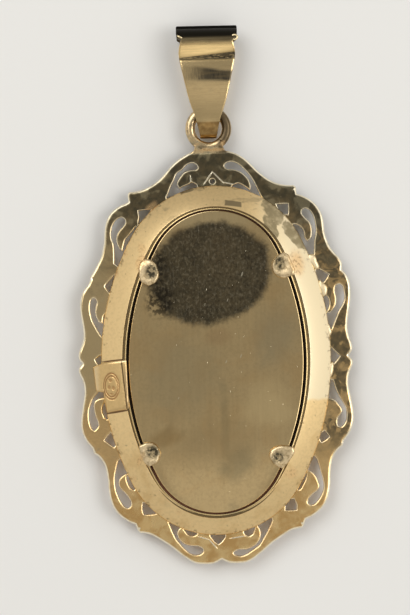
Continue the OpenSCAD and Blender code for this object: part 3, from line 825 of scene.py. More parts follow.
def border_marks(at, coat):
    """Painted dark olive reflection at the head, blotches on the right, painted bright gold at the foot, and
    painted highlights on the edges.
    """
    ragged = (at.noise(1.6, 5, seed=6.0, warp=0.5) - 0.5) * 10
    mottle = at.noise(0.5, 4, seed=8.0).step(0.3, 0.65)
    patches = at.noise(1.5, 4, seed=36.0, warp=0.8)
    left = at.x.step(-8, -12.5) * (at.y + ragged * 0.4).step(-7, -1)
    coat.tint(left * 0.6, 0.60, 0.50, 0.29)
    right = (at.x + ragged * 0.25).step(7, 11.5) * (at.y + ragged * 0.5).step(-12, -7)
    coat.tint(right * (patches.step(0.43, 0.53) * 0.6 + mottle * 0.25), 0.11, 0.10, 0.065)
    # painted reflection: the head is darkened to a mottled olive
    head_end = (at.y + ragged).step(6, 17)
    painted_dark_and_tarnish = mix(patches.step(0.5, 0.62), rgb(0.075, 0.07, 0.046), rgb(0.24, 0.21, 0.13))
    coat.tint(head_end * (0.96 - mottle * 0.08), painted_dark_and_tarnish)
    # painted light: the foot is brightened to warm gold
    foot_end = (at.y + ragged * 0.5).step(-8, -16)
    foot_light = mix(patches.step(0.35, 0.65), rgb(0.62, 0.38, 0.14), rgb(0.80, 0.57, 0.26))
    coat.tint(foot_end * 0.95, foot_light)
    tendrils = most(*[at.stroke(*ends, 0.09) for ends in tendril_ends],
                    at.stroke(-0.75, 18.3, 0.35, 19.8, 0.1))
    tendrils = tendrils * at.z.step(2.0, 2.15)
    # painted highlight: the rounded edges and the raised tendrils are tinted pale cream
    wear_and_highlight = at.z.step(2.187, 2.165) * at.z.step(1.95, 2.05)
    wear_and_highlight = wear_and_highlight * (at.noise(0.7, 3, seed=29.0).step(0.25, 0.5) * 0.4 + 0.6)
    coat.tint(most(wear_and_highlight, tendrils * 0.8), 1.0, 0.90, 0.68)
    coat.roughness += head_end * 0.05 + foot_end * 0.1
    coat.height += tendrils * 0.03


border_stains = [(-6.2, 16.2, 0.9, 0.5, 40, 0.7), (0.3, 21.9, 1.9, 0.22, 0, 0.9),
                 (-11.4, 3.9, 0.5, 1.2, 10, 0.5), (-9.3, -13.5, 0.8, 0.5, 0, 0.35),
                 (5.3, -17.6, 0.9, 0.5, 30, 0.5), (3.2, -20.0, 1.1, 0.4, 20, 0.5),
                 (-3.6, -19.2, 0.9, 0.5, -20, 0.4), (-10.6, -10.4, 0.6, 0.8, 0, 0.4)]
border_gold = worked_gold("border_gold", rgb(0.80, 0.54, 0.24), rough=0.17, film=0.22, blob=1.3, dents=0.012,
                          stains=border_stains, marks=border_marks)
border_edges = [0.27] + [0.18] * (len(border_lines) - 1)
border = sheet_metal(border_lines, border_top, flat(1.5), edge=border_edges, net=0.7)
finished("scroll_border", *border, border_gold, "gold_setting", "scroll_setting")

# %% [markdown]
# Where the band was soldered to the border, the solder stands in a few small lumps on the right.

# %% Lumps of solder
solder_gold = worked_gold("solder_gold", rgb(0.90, 0.74, 0.47), rough=0.38, film=0.1, blob=0.5, dents=0.02)
LUMP_POINTS = 18
lumps = [(10.55, 10.0, 0.45, 0.95, 32), (11.5, 7.1, 0.4, 0.9, 18), (11.9, 2.7, 0.38, 0.6, 5),
         (11.95, -1.5, 0.4, 1.0, -8)]
for k, (x, y, wide, long, turn) in enumerate(lumps):
    angle = np.linspace(0, 2 * math.pi, LUMP_POINTS, endpoint=False)
    bulge = 1 + 0.14 * np.sin(3 * angle + 2 * k) + 0.08 * np.sin(5 * angle + k)
    lump_line = turned(circle(LUMP_POINTS) * bulge[:, None] * [wide, long], math.radians(turn), (x, y))
    lump = sheet_metal([lump_line], lambda u, v: 2.42 - 0.12 * np.hypot(u - x, v - y) ** 2, flat(1.9),
                       edge=0.22, net=0.2)
    finished(f"solder_{k + 1}", *lump, solder_gold, "gold_setting", "scroll_setting")

# %% [markdown]
# ## The back plate
# The plate is a plain oval sheet with a slight dome. It lies on a ledge, and a dark gap runs round it.

# %% The domed plate
PLATE_THICK, PLATE_DOME = 0.36, 0.14
plate_outline = turned(oval(well_a - 0.27, well_b - 0.14, 300), bezel_turn, well_at)
plate_reflections = [
    (-3.5, -1.5, 5.0, 5.5, 0, 0.35, rgb(0.50, 0.42, 0.25)),
    (6.2, 2.4, 3.0, 3.6, -35, 0.4, rgb(0.48, 0.42, 0.27)),
    (5.5, -5.0, 3.2, 2.8, -30, 0.7, rgb(0.96, 0.73, 0.37)),
    (0.2, 2.4, 1.8, 1.2, 0, 0.35, rgb(0.58, 0.36, 0.17)),
    (0.75, -6.6, 0.6, 5.0, 0, 0.28, rgb(0.34, 0.28, 0.15)),
    (-5.6, -8.1, 2.2, 1.2, 20, 0.5, rgb(0.46, 0.29, 0.11)),
    (1.9, -11.0, 2.4, 1.9, 25, 0.5, rgb(0.33, 0.27, 0.15)),
    (-1.2, -8.9, 5.0, 2.6, 5, 0.35, rgb(0.52, 0.37, 0.18)),
    (-0.8, 15.0, 7.0, 1.6, 0, 0.7, rgb(0.84, 0.66, 0.36)),
    (-7.0, 11.6, 1.6, 3.2, 30, 0.45, rgb(0.80, 0.57, 0.30))]
plate_flakes = [(1.44, 6.2, 0.05, 0.2), (2.66, 0.3, 0.05, 0.25), (1.1, -0.25, 0.05, 0.2),
                (-4.0, -3.9, 0.04, 0.15)]


def plate_top(x, y):
    back = turned(np.column_stack([x, y]) - well_at, -bezel_turn)
    share = (back[:, 0] / 9.1) ** 2 + (back[:, 1] / 15.75) ** 2
    return plate_z + PLATE_THICK + PLATE_DOME * (1 - np.clip(share, 0, 1))


def plate_marks(at, coat):
    """A ragged dark round spot and soft veils, both painted reflections, rubbed vertical lines, a few bright
    scratches, and painted shade and residue at the edge.
    """
    warm = at.noise(4.5, 3, seed=21.0, warp=0.6).step(0.45, 0.65) * 0.35
    coat.tint(warm, 0.72, 0.47, 0.20)
    soft = (at.noise(2.5, 3, seed=52.0, warp=0.8) - 0.5) * 0.9
    # painted reflections: soft lighter and darker veils over the plate
    for *place, share, reflection_tone in plate_reflections:
        coat.tint((at.from_point(*place) + soft).step(1.2, 0.3) * share, reflection_tone)
    rubbed = at.noise(0.3, 4, stretch=(1, 16, 1), seed=34.0).step(0.35, 0.75)
    coat.tint(rubbed * 0.1, 0.36, 0.26, 0.13)
    # painted reflection: a ragged dark round spot, mottled inside
    ragged = (at.noise(1.8, 3, seed=61.0) - 0.5) * 0.24 + (at.noise(0.3, 5, seed=62.0) - 0.5) * 0.1
    round_edge = at.from_point(-0.36, 9.05, 6.65, 5.4, 13) + ragged
    painted_dark_and_tarnish = round_edge.step(1.06, 0.9)
    mottle = at.noise(0.35, 5, seed=64.0).step(0.3, 0.62) * 0.6
    mottle = mottle + at.noise(2.2, 3, seed=65.0).step(0.35, 0.65) * 0.4
    inner = at.from_point(1.8, 9.2, 4.6, 4.4).step(1.2, 0.2)
    dark = mix(inner, rgb(0.07, 0.062, 0.042), rgb(0.115, 0.096, 0.06))
    scuffs = at.noise(0.22, 5, stretch=(1, 1.4, 1), seed=67.0, warp=0.5)
    dark = mix(scuffs.step(0.5, 0.7) * 0.75, dark, rgb(0.26, 0.225, 0.155))
    dark = mix(scuffs.step(0.46, 0.34) * 0.85, dark, rgb(0.045, 0.038, 0.028))
    coat.tint(painted_dark_and_tarnish * (0.97 - mottle * 0.12), dark)
    # dark clusters at the spot's left rim, part of the painted reflection
    dark_clusters = least(at.from_point(-5.6, 6.4, 1.7, 2.0, -20), at.from_point(-5.9, 9.4, 1.3, 2.6, -10))
    dark_clusters = dark_clusters.step(1.2, 0.5) * at.noise(0.45, 5, seed=66.0).step(0.42, 0.55) * 0.8
    coat.tint(dark_clusters, 0.035, 0.028, 0.02)
    hair = at.noise(0.12, 2, stretch=(1, 18, 1), seed=68.0).step(0.6, 0.75) * painted_dark_and_tarnish * 0.1
    speck = at.noise(0.2, 2, stretch=(1, 1.8, 1), seed=31.0).step(0.76, 0.79) * 0.7
    flakes = most(at.stroke(2.95, 8.6, 3.15, 9.15, 0.09),
                  *[at.stroke(x - 0.08, y - long, x + 0.08, y + long, wide)
                    for x, y, wide, long in plate_flakes])
    coat.tint(most(hair, speck, flakes * 0.6), 1.0, 0.90, 0.68)
    # painted shade, with residue at the ends, down the plate's edge into the gap
    into_gap = at.z.step(3.51, 3.46)
    coat.tint(into_gap, gap_shade_and_residue(at))
    coat.roughness += into_gap * 0.3 + speck * 0.2 + painted_dark_and_tarnish * 0.05
    coat.height += speck * 0.004


plate_gold = worked_gold("plate_gold", rgb(0.76, 0.56, 0.28), rough=0.075, film=0.06, pits=0.1,
                         streaks=(1, 9, 1), streak_depth=0.0006, dents=0.0015, marks=plate_marks)
plate = sheet_metal([plate_outline], plate_top, flat(plate_z), edge=0.08, net=0.8)
finished("plate_sheet", *plate, plate_gold, "gold_plate", "back_plate")

# %% [markdown]
# ## The claws
# Four claws stand in the wall of the well and are bent down over the plate. Each was filed and pressed by
# hand, so each has its own outline, and a shallow dish where the punch pushed it down.

# %% Four claws, each with its own outline
claws = {
    "claw_1": ((-6.71, 9.19), [[-1.1, 0.5], [-0.9, 1.25], [-0.3, 1.62], [0.3, 1.45], [0.8, 1.0], [1.1, 0.0],
                               [1.0, -0.5], [0.65, -1.0], [-0.05, -1.28], [-0.9, -0.75]]),
    "claw_2": ((7.17, 9.6), [[-0.98, 0.0], [-0.85, 0.6], [-0.4, 1.1], [0.25, 1.45], [0.8, 1.15], [1.45, -0.5],
                             [1.3, -1.0], [0.3, -1.32], [-0.4, -1.15], [-0.85, -0.65]]),
    "claw_3": ((6.55, -10.34), [[-1.3, 0.1], [-1.1, 0.75], [-0.5, 1.1], [0.1, 1.2], [1.3, 1.0], [1.45, 0.45],
                                [0.75, -0.6], [0.1, -1.28], [-0.35, -1.1], [-0.95, -0.65]]),
    "claw_4": ((-7.19, -9.6), [[-1.15, 0.85], [-0.4, 1.2], [0.3, 1.15], [0.78, 0.85], [1.18, 0.0],
                               [0.8, -0.95], [-0.15, -1.42], [-0.55, -1.0], [-0.9, -0.35]])}


def claw_top(cx, cy):
    away = np.array([cx, cy]) / np.hypot(cx, cy)

    def height(x, y):
        out = (x - cx) * away[0] + (y - cy) * away[1]
        dish = 0.08 * np.clip(1 - ((x - cx) ** 2 + (y - cy) ** 2) / 0.9 ** 2, 0, 1)
        return 4.26 - 0.1 * np.clip(out - 0.2, 0, 2) ** 2 - dish - 0.05 * np.clip(-out - 0.5, 0, 2)
    return height


def claw_bottom(x, y):
    """The underside clears the plate, and goes down into the lip beyond the wall of the well."""
    back = turned(np.column_stack([x, y]) - well_at, -bezel_turn)
    beyond = (np.hypot(back[:, 0] / well_a, back[:, 1] / well_b) - 1) * 10
    return 3.92 - 0.5 * np.clip((beyond - 0.02) / 0.25, 0, 1)


dishes = [(-6.42, 9.4, 0.78, 1.0), (7.0, 9.9, 0.68, 0.95), (6.2, -10.35, 0.75, 0.7),
          (-6.85, -9.4, 0.85, 0.85)]


def claw_marks(at, coat):
    """The punch left a dark, pitted dish in each claw. Handling has browned the cream rim in places."""
    dent = at.noise(0.34, 4, seed=14.0, warp=0.3)
    dish = most(*[(at.from_point(*place) + (dent - 0.5) * 1.6).step(1.1, 0.5) for place in dishes])
    handled = at.noise(0.42, 4, seed=15.0, warp=0.4).step(0.44, 0.66)
    coat.tint(handled * 0.65, 0.34, 0.235, 0.11)
    coat.tint(dish * (dent.step(0.3, 0.5) * 0.4 + 0.5), 0.21, 0.165, 0.09)
    pitted = dish * dent.step(0.45, 0.53)
    coat.tint(pitted * 0.9, 0.03, 0.028, 0.02)
    coat.roughness += dish * 0.12
    coat.height += dish * dent * 0.03


claw_gold = worked_gold("claw_gold", rgb(0.82, 0.64, 0.38), rough=0.34, film=0.1, stains=claw_stains,
                        marks=claw_marks)
for name, ((cx, cy), outline) in claws.items():
    line = soft_corners(np.array(outline) + [cx, cy], 0.16, 4)
    claw = sheet_metal([line], claw_top(cx, cy), claw_bottom, edge=0.24, net=0.2)
    finished(name, *claw, claw_gold, "gold_setting", "scroll_setting")

# %% [markdown]
# ## The assay tag
# A small tag is soldered to the band. Its real mark is left off, and a plain double oval line with a few
# dimples takes its place. The lines are cut in the mesh, because they are deep enough to catch the light.

# %% The bent tag
tag_outline = [[-9.32, 0.3], [-10.17, 0.22], [-11.78, 0.06], [-12.9, -0.45], [-12.62, -2.95], [-11.75, -3.1],
               [-11.57, -5.2], [-9.2, -4.85]]
mark_x, mark_y, mark_wide, mark_long = -10.98, -2.45, 0.85, 1.4
mark_lines = (0.97, 0.78)
dimples = [(mark_x - 0.1, mark_y + 0.62, 0.24, 0.2), (mark_x - 0.25, mark_y - 0.1, 0.17, 0.26),
           (mark_x + 0.2, mark_y - 0.2, 0.18, 0.26), (mark_x, mark_y - 0.8, 0.2, 0.12)]


def groove_x(y):
    """A groove runs down the tag beside its right edge."""
    return -9.86 + (0.3 - y) * 0.088


def tag_top(x, y):
    fall = np.interp(-x, [9, 10.9, 11.5, 11.95, 12.3, 12.95], [4.11, 3.6, 3.38, 3.14, 2.86, 2.42])
    ring = np.hypot((x - mark_x) / mark_wide, (y - mark_y) / mark_long)
    groove = np.exp(-((x - groove_x(y)) / 0.08) ** 2)
    return fall - 0.03 * sum(np.exp(-((ring - r) / 0.05) ** 2) for r in mark_lines) - 0.06 * groove


def tag_bottom(x, y):
    return np.interp(-x, [9, 11.5, 12.95], [3.25, 2.45, 2.1])


def tag_marks(at, coat):
    """Rust-brown dirt in the double oval, and a few worn dimples inside it."""
    ring = at.from_point(mark_x, mark_y, mark_wide, mark_long) + (at.noise(0.3, 2, seed=3.0) - 0.5) * 0.05
    frayed = (at.noise(0.15, 2, seed=5.0) - 0.5) * 0.6
    line = most(abs(ring - mark_lines[0]).step(0.09, 0.03), abs(ring - mark_lines[1]).step(0.08, 0.03),
                *[(at.from_point(*dimple) + frayed).step(1.15, 0.6) * 0.75 for dimple in dimples])
    coat.tint(ring.step(0.95, 0.7) * 0.3, 0.56, 0.36, 0.15)
    coat.tint(line * 0.85, 0.36, 0.18, 0.07)
    # painted shade: a dark line in the groove beside the right edge, and the rim right of it darker below the
    # top
    beside = at.x - groove_x(at.y)
    coat.tint(beside.step(0.05, 0.15) * at.y.step(-0.3, -1.2) * 0.6, 0.42, 0.30, 0.17)
    coat.tint(abs(beside).step(0.09, 0.03), 0.13, 0.08, 0.04)
    # painted highlight: the left wing and the top edge are tinted pale
    wear_and_highlight = most(at.x.step(-12.0, -12.7), at.y.step(-0.05, 0.15)) * at.z.step(2.35, 2.6)
    coat.tint(wear_and_highlight * 0.5, 0.95, 0.78, 0.50)
    coat.roughness += line * 0.15
    coat.height -= line * 0.02


tag_gold = worked_gold("tag_gold", rgb(0.76, 0.53, 0.24), rough=0.3, film=0.05, pits=0.15, marks=tag_marks)
tag = sheet_metal([soft_corners(tag_outline, 0.14)], tag_top, tag_bottom, edge=0.22, net=0.11)
finished("assay_tag", *tag, tag_gold, "gold_setting", "scroll_setting")

# %% [markdown]
# ## The hanging ring
# The ring is thick wire, flattened a little where it was hammered round, and soldered to the border's head.

# %% The ring and its solder foot
ring_at, ring_r, wire_d, ring_z = np.array([0, 24.26]), 2.42, 1.0, 1.85
ring_round = circle(96)
flattened = (np.sign(ring_round) * np.abs(ring_round) ** 0.8)[:, ::-1] * [0.475, wire_d / 2] + [ring_z, 0]
ring_path = np.column_stack([(ring_r - wire_d / 2) * ring_round + ring_at, np.zeros(len(ring_round))])


def ring_marks(at, coat):
    """The right side is darkened, a painted shade, among dark tarnish blots, and a thin dark line shows where
    the wire's ends were soldered.
    """
    blots = at.noise(0.5, 4, seed=13.0)
    # painted shade: the right side of the ring's top is darkened; the scattered blots are tarnish
    painted_dark_and_tarnish = (at.x + (blots - 0.5) * 1.8).step(0.3, 1.5) * at.y.step(26.8, 25.6)
    painted_dark_and_tarnish = most(painted_dark_and_tarnish, blots.step(0.55, 0.66) * 0.7) * at.z.step(2.05, 2.2)
    coat.tint(painted_dark_and_tarnish * 0.93, 0.085, 0.06, 0.033)
    seam = abs(at.y - 23.9 + at.x * 0.75).step(0.09, 0.04) * at.x.step(1.1, 1.3)
    coat.tint(seam * 0.9, 0.05, 0.03, 0.015)
    coat.roughness += painted_dark_and_tarnish * 0.1
    coat.height -= seam * 0.04


ring_stains = [(0.2, 22.0, 1.7, 0.22, 0, 0.85), (-1.3, 22.6, 0.35, 0.3, 0, 0.5),
               (1.5, 22.7, 0.4, 0.3, 30, 0.6)]
ring_gold = worked_gold("ring_gold", rgb(0.72, 0.54, 0.30), rough=0.22, film=0.5, blob=0.6, pits=0.6,
                        stains=ring_stains, marks=ring_marks)
ring = swept(ring_path, flattened[::3], UP)
finished("hanging_ring", *ring, ring_gold, "gold_setting", "scroll_setting")
fillet = np.array([[0, 21.3], [1.98, 21.45], [1.98, 21.72], [1.62, 21.98], [1.49, 22.35], [1.55, 22.6],
                   [0, 22.6]])
foot_line = np.vstack([fillet, (fillet * [-1, 1])[-2:0:-1]])
foot = sheet_metal([foot_line], lambda x, y: 2.17 + 0.1 * np.clip(y - 21.6, 0, 1), flat(1.55),
                   edge=0.14, net=0.4)
finished("ring_foot", *foot, ring_gold, "gold_setting", "scroll_setting")

# %% [markdown]
# ## The bail
# The bail is a tapering strap, folded through the ring and closed round a bar at the top.
# Its path lies in the plane of the fold, and the spread of each path point gives the strap its taper.

# %% The folded strap
strap_line = [[34.52, 2.2], [34.44, 3.05], [34.12, 3.66], [33.65, 3.97], [33.15, 4.01], [32.6, 3.88],
              [31.95, 3.7], [31.5, 3.615], [31.1, 3.62], [30.5, 3.62], [29.6, 3.56], [28.5, 3.44],
              [27.1, 3.26], [25.3, 2.98], [24.3, 2.72], [23.68, 2.35], [23.43, 1.82], [23.6, 1.25],
              [24.2, 0.78], [25.3, 0.48], [27.5, 0.3], [30, 0.26], [32, 0.3], [33.4, 0.56], [34.2, 1.2]]
strap_half = smooth([[0.72, 23.1], [0.84, 23.24], [0.9, 23.7], [1.1, 24.6], [1.38, 25.6], [2, 27.5],
                     [2.55, 29.9], [2.93, 31.7], [2.92, 32.5], [2.76, 33.3], [2.78, 33.46], [3.1, 33.66],
                     [3.16, 34.0], [3.16, 35.2]])
bail_lean = math.radians(-0.6)


def leaning(points):
    """The bail leans a little in its ring."""
    points = np.asarray(points, float).copy()
    points[:, :2] = turned(points[:, :2] - ring_at, bail_lean, ring_at)
    return points


strap_path = smooth(strap_line, 8, closed=True)
strap_spread = np.interp(strap_path[:, 0], strap_half[:, 1], strap_half[:, 0])
strap_section = soft_corners([[-1, -0.225], [1, -0.225], [1, 0.225], [-1, 0.225]], 0.07)


def strap_marks(at, coat):
    """Zones across the strap, mostly painted reflections and shade: black by the bar, bright gold, a crease,
    dark greys, and a plain polish.
    """
    over = at.z.step(1.6, 2.2)
    wave = (at.noise(1.2, 3, stretch=(2.5, 0.4, 1), seed=17.0) - 0.5) * 0.3
    y = at.y + wave
    # painted shade: darker towards the lower strap
    coat.tint(at.y.step(32.6, 28.6) * 0.3, 0.56, 0.42, 0.22)
    # painted reflection: a bright gold band where the strap's curve faces the light
    rolled = (y - at.x * 0.06).step(31.4, 32.1) * y.step(33.5, 33.0)
    coat.tint(rolled * over, 0.95, 0.69, 0.325)
    shade = (at.x * 0.14 + 31.95 - y).step(-0.25, 0.2) * (at.y - 31.35).step(-0.1, 0.05)
    coat.tint(shade * over * 0.75, 0.34, 0.25, 0.11)
    # painted glints in the crease
    glints = at.noise(0.2, 4, stretch=(2.0, 0.6, 1), seed=22.0).step(0.5, 0.66) * 0.5
    # painted shade: a dark wedge in the crease under the folded end, with darker lines at its edges
    above, below = at.y - 31.44 + wave * 0.3, at.x * 0.085 + 31.86 - at.y + wave * 0.3
    crease = above.step(-0.05, 0.03) * below.step(-0.05, 0.03)
    crease = crease * (at.x.step(-3.2, 0.5) * 0.4 + 0.58) * (1 - glints)
    folds = least(abs(above - 0.02), abs(below - 0.03)).step(0.07, 0.02)
    crease = most(crease, folds * above.step(-0.08, -0.04) * below.step(-0.08, -0.04) * 0.9)
    # painted reflections: a dark hatched band and a grey band across the strap
    ticks = at.noise(0.12, 2, stretch=(1, 10, 1), seed=12.0).step(0.3, 0.7)
    dark_hatched_band = (y + at.x * 0.13 - 30.15).step(0.6, 0.15) * (y + at.x * 0.06 - 29.45).step(-0.5, 0.05)
    dark_hatched_band = dark_hatched_band * ((at.x + ticks * 0.9).step(-2.4, 0.7) * 0.94 + 0.04) * (1 - ticks * 0.12)
    grey = y.step(28.3, 29.6) * y.step(31.5, 31.1) * 0.45
    coat.tint(grey * over, 0.38, 0.30, 0.17)
    coat.tint(dark_hatched_band * over, 0.04, 0.037, 0.03)
    coat.tint(crease * over * 0.97, 0.055, 0.046, 0.032)
    ruled = at.noise(0.12, 3, stretch=(14, 1, 1), seed=25.0)
    coat.tint(ruled.step(0.4, 0.65) * 0.16, 0.40, 0.28, 0.12)
    # painted shade: darker and browner towards the tip
    coat.tint(at.y.step(28, 25.2) * over * 0.5, 0.40, 0.30, 0.15)
    tip = at.y.step(25.05, 24.8) * over
    tip_tone = mix(at.noise(0.5, 4, seed=23.0).step(0.35, 0.65), rgb(0.25, 0.14, 0.045), rgb(0.37, 0.23, 0.085))
    coat.tint(tip * 0.92, tip_tone)
    # painted reflection: dark over the crest
    dark_crest = y.step(32.85, 33.45)
    coat.tint(dark_crest * 0.94, 0.05, 0.04, 0.023)
    black = (at.y + wave * 0.3).step(33.55, 33.9)
    coat.tint(black * 0.98, 0.015, 0.013, 0.009)
    coat.roughness += dark_hatched_band * 0.1 + dark_crest * 0.15 + black * 0.3
    coat.height += (ruled - 0.5) * 0.0025 - crease * 0.03


strap_gold = worked_gold("strap_gold", rgb(0.92, 0.68, 0.34), rough=0.2, film=0.06, pits=0.1,
                         marks=strap_marks)
strap_points, strap_faces = swept(np.column_stack([0 * strap_spread, strap_path]), strap_section, RIGHT,
                                  strap_spread)
finished("bail_strap", leaning(strap_points), strap_faces, strap_gold, "gold_bail", "bail")

# %% [markdown]
# The bar is wire too, so it is made of rings of points from end to end, with rounded ends.

# %% The bar across the top
def closed_tube(rings):
    """Points and faces of a form through rings of points, with both ends closed."""
    n, layers = len(rings[0]), len(rings)
    ends = [list(range(n)), list(range((layers - 1) * n, layers * n))[::-1]]
    return np.vstack(rings), walls_between(layers, np.roll(np.arange(n), -1)) + ends


def turned_bar(stations, around=40):
    """A closed round bar along X: each station is [x, radius, y, z]."""
    return closed_tube([np.column_stack([np.full(around, x), circle(around) * r + [y, z]])
                        for x, r, y, z in stations])


def bar_marks(at, coat):
    """The bar is painted near black, browner with a little bare gold at its lower edge."""
    wear_and_highlight = at.noise(0.3, 4, stretch=(0.6, 2, 1), seed=19.0).step(0.5, 0.72) * at.y.step(34.75, 34.15) * 0.16
    brown = mix(at.y.step(34.6, 34.15), rgb(0.01, 0.009, 0.007), rgb(0.03, 0.022, 0.012))
    coat.tint(1 - wear_and_highlight, brown)


bar_gold = worked_gold("bar_gold", PALE_GOLD, rough=0.75, film=0.1, marks=bar_marks)
half_bar, bar_r = 3.2, 0.5
bar = [[x, r, 34.55, 2.25] for x, r in [(-half_bar, 0.34), (-half_bar + 0.02, 0.42), (-half_bar + 0.07, 0.48),
                                        (-half_bar + 0.15, bar_r)]]
bar += [[-x, r, y, z] for x, r, y, z in bar[::-1]]
bar_points, bar_faces = turned_bar(bar)
finished("bail_bar", leaning(bar_points), bar_faces, bar_gold, "gold_bail", "bail")

# %% [markdown]
# The strap's corners curl out from under the bar: a small leaf at the left, and an open curl at the right.

# %% The two curls
curl_gold = worked_gold("curl_gold", PALE_GOLD, rough=0.2, film=0.1)
bud = [[-2.8 + 0.3 * math.sin(a), max(0.12 * math.cos(a), 0.01), 33.78 - 0.13 * math.sin(a), 4.14]
       for a in np.linspace(-1.5, 1.5, 13)]
bud_points, bud_faces = turned_bar(bud, 24)
finished("left_curl", leaning(bud_points), bud_faces, curl_gold, "gold_bail", "bail")
curl_round = circle(40)
curl_path = curl_round[:, [0, 1, 0]] * [0.29, 0.24, 0.03] + [2.92, 33.66, 4.07]
curl_points, curl_faces = swept(curl_path, 0.1 * curl_round[::3, ::-1], UP)
finished("right_curl", leaning(curl_points), curl_faces, curl_gold, "gold_bail", "bail")

# %% [markdown]
# ## The painted plaque
# The plaque's painted front faces down. Its picture is hidden in the photograph, so it gets plain flowers.

# %% The plaque between the rim and the collar
FRONT_INSET, BODY_INSET = 2.48, 1.7
PLAQUE_POINTS = 180


def oval_loft(rows):
    """A closed form through ovals: each row is [half width, half length, height]."""
    return closed_tube([np.column_stack([turned(oval(a, b, PLAQUE_POINTS), bezel_turn, bezel_at),
                                         np.full(PLAQUE_POINTS, z)]) for a, b, z in rows])


front_a, front_b = bezel_a - FRONT_INSET, bezel_b - FRONT_INSET
front = [[front_a * share, front_b * share, 0.35 - 0.2 * (1 - share ** 2)]
         for share in (0.04, 0.2, 0.4, 0.55, 0.7, 0.8, 0.88, 0.94, 0.98, 1)]
body = [[front_a, front_b, 0.45], [bezel_a - BODY_INSET, bezel_b - BODY_INSET, 0.6],
        [bezel_a - BODY_INSET, bezel_b - BODY_INSET, edge_z]]


def flower(at, coat, x, y, size, turn, petal, shade):
    """A five-petalled flower with a yellow heart."""
    reach = at.from_point(x, y, size, size)
    around = (at.y - y).maths("ARCTAN2", at.x - x)
    lobe = abs((around * 2.5 + turn).maths("COSINE")) * 0.34 + 0.66
    edge = reach.maths("DIVIDE", lobe)
    vein = (around * 27 + turn).maths("SINE") * 0.12
    coat.tint(edge.step(1.03, 0.97), mix((edge + vein).step(0.35, 1.05), petal, shade))
    coat.tint(reach.step(0.3, 0.24), 0.80, 0.50, 0.10)
    coat.tint(abs(reach - 0.3).step(0.05, 0.02) * 0.6, 0.36, 0.17, 0.05)


def leaf(at, coat, x, y, wide, long, turn, green):
    """A pointed leaf with a pale rib."""
    c, s = math.cos(math.radians(turn)), math.sin(math.radians(turn))
    across, along = (at.x - x) * c + (at.y - y) * s, (at.y - y) * c - (at.x - x) * s
    blade = abs(across) * (1 / wide) + (along * (1 / long)) ** 2
    coat.tint(blade.step(1.04, 0.94), mix(abs(across).step(0, wide), green, rgb(0.06, 0.13, 0.05)))
    coat.tint(abs(across).step(0.07, 0.03) * blade.step(0.9, 0.7) * 0.7, 0.45, 0.52, 0.25)


STEM_FOOT = -11.5
stems = [(0.012, -0.6, 4.5), (-0.02, 0.2, 6.5), (0.035, -1.0, 0.0)]
leaves = [(2.9, -1.6, 0.9, 2.3, -50, rgb(0.20, 0.33, 0.11)),
          (-3.4, -2.4, 0.9, 2.4, 48, rgb(0.17, 0.30, 0.12)),
          (-4.3, 3.2, 0.8, 2.0, 35, rgb(0.26, 0.38, 0.13)),
          (4.6, 4.4, 0.8, 2.0, -30, rgb(0.22, 0.35, 0.13)),
          (-1.9, -6.6, 0.8, 2.3, 40, rgb(0.18, 0.31, 0.10)),
          (1.7, -7.4, 0.8, 2.2, -42, rgb(0.24, 0.36, 0.12)),
          (0.6, 8.6, 0.7, 1.8, 8, rgb(0.24, 0.36, 0.13)),
          (-2.6, 7.2, 0.6, 1.6, 42, rgb(0.20, 0.33, 0.12))]
flowers = [(-1.3, 2.1, 2.5, 0.4, rgb(0.86, 0.36, 0.36), rgb(0.52, 0.08, 0.12)),
           (2.7, 1.1, 1.9, 1.2, rgb(0.92, 0.88, 0.80), rgb(0.62, 0.50, 0.56)),
           (-2.9, -2.0, 1.7, 0.9, rgb(0.50, 0.52, 0.80), rgb(0.16, 0.17, 0.46)),
           (1.3, 5.4, 1.7, 0.1, rgb(0.93, 0.70, 0.30), rgb(0.70, 0.33, 0.08)),
           (0.9, -3.3, 1.5, 0.6, rgb(0.90, 0.58, 0.58), rgb(0.66, 0.20, 0.24)),
           (-2.2, 6.0, 1.1, 0.3, rgb(0.94, 0.90, 0.84), rgb(0.66, 0.56, 0.60)),
           (3.6, -3.9, 1.0, 1.0, rgb(0.55, 0.57, 0.84), rgb(0.20, 0.20, 0.50))]


def painted_enamel():
    """A cream ground that turns soft blue at the edge, with a spray of flowers and a thin gold line."""
    material = bpy.data.materials.new("painted_enamel")
    at = Place(cleared(material))
    rim = at.from_point(*bezel_at, front_a, front_b, math.degrees(bezel_turn))
    cloud = at.noise(3.0, 4, seed=41.0)
    brush = at.noise(0.25, 4, stretch=(1, 2.5, 1), seed=44.0)
    gilt = abs(rim - 0.935).step(0.014, 0.008)
    ground = mix((rim + (cloud - 0.5) * 0.35).step(0.45, 1.0), rgb(0.88, 0.82, 0.68), rgb(0.36, 0.50, 0.60))
    coat = Coat(ground, gilt * 0.12 + brush * 0.05 + 0.1, brush * 0.006 + at.noise(0.5, 3, seed=46.0) * 0.004)
    coat.tint(cloud.step(0.5, 0.7) * 0.25, 0.95, 0.80, 0.70)
    for bend, foot_x, high in stems:
        stem = abs(at.x - foot_x - (at.y - STEM_FOOT) ** 2.0 * bend).step(0.16, 0.1)
        stem = stem * at.y.step(STEM_FOOT - 0.2, STEM_FOOT + 0.2) * at.y.step(high, high - 0.5)
        coat.tint(stem, 0.12, 0.22, 0.08)
    for plan in leaves:
        leaf(at, coat, *plan)
    for plan in flowers:
        flower(at, coat, *plan)
    coat.tint(brush.step(0.4, 0.8) * 0.14, 0.98, 0.95, 0.88)
    coat.tint(gilt, 0.72, 0.45, 0.14)
    return coat.laid_on(material, at, gilt, {"Coat Weight": 0.4, "Coat Roughness": 0.06})


finished("painted_front", *oval_loft(front + body), painted_enamel(), "painted_enamel", "painted_plaque")

# %% [markdown]
# ## Floor and light
# The floor is plain and pale, and everything rests on it.

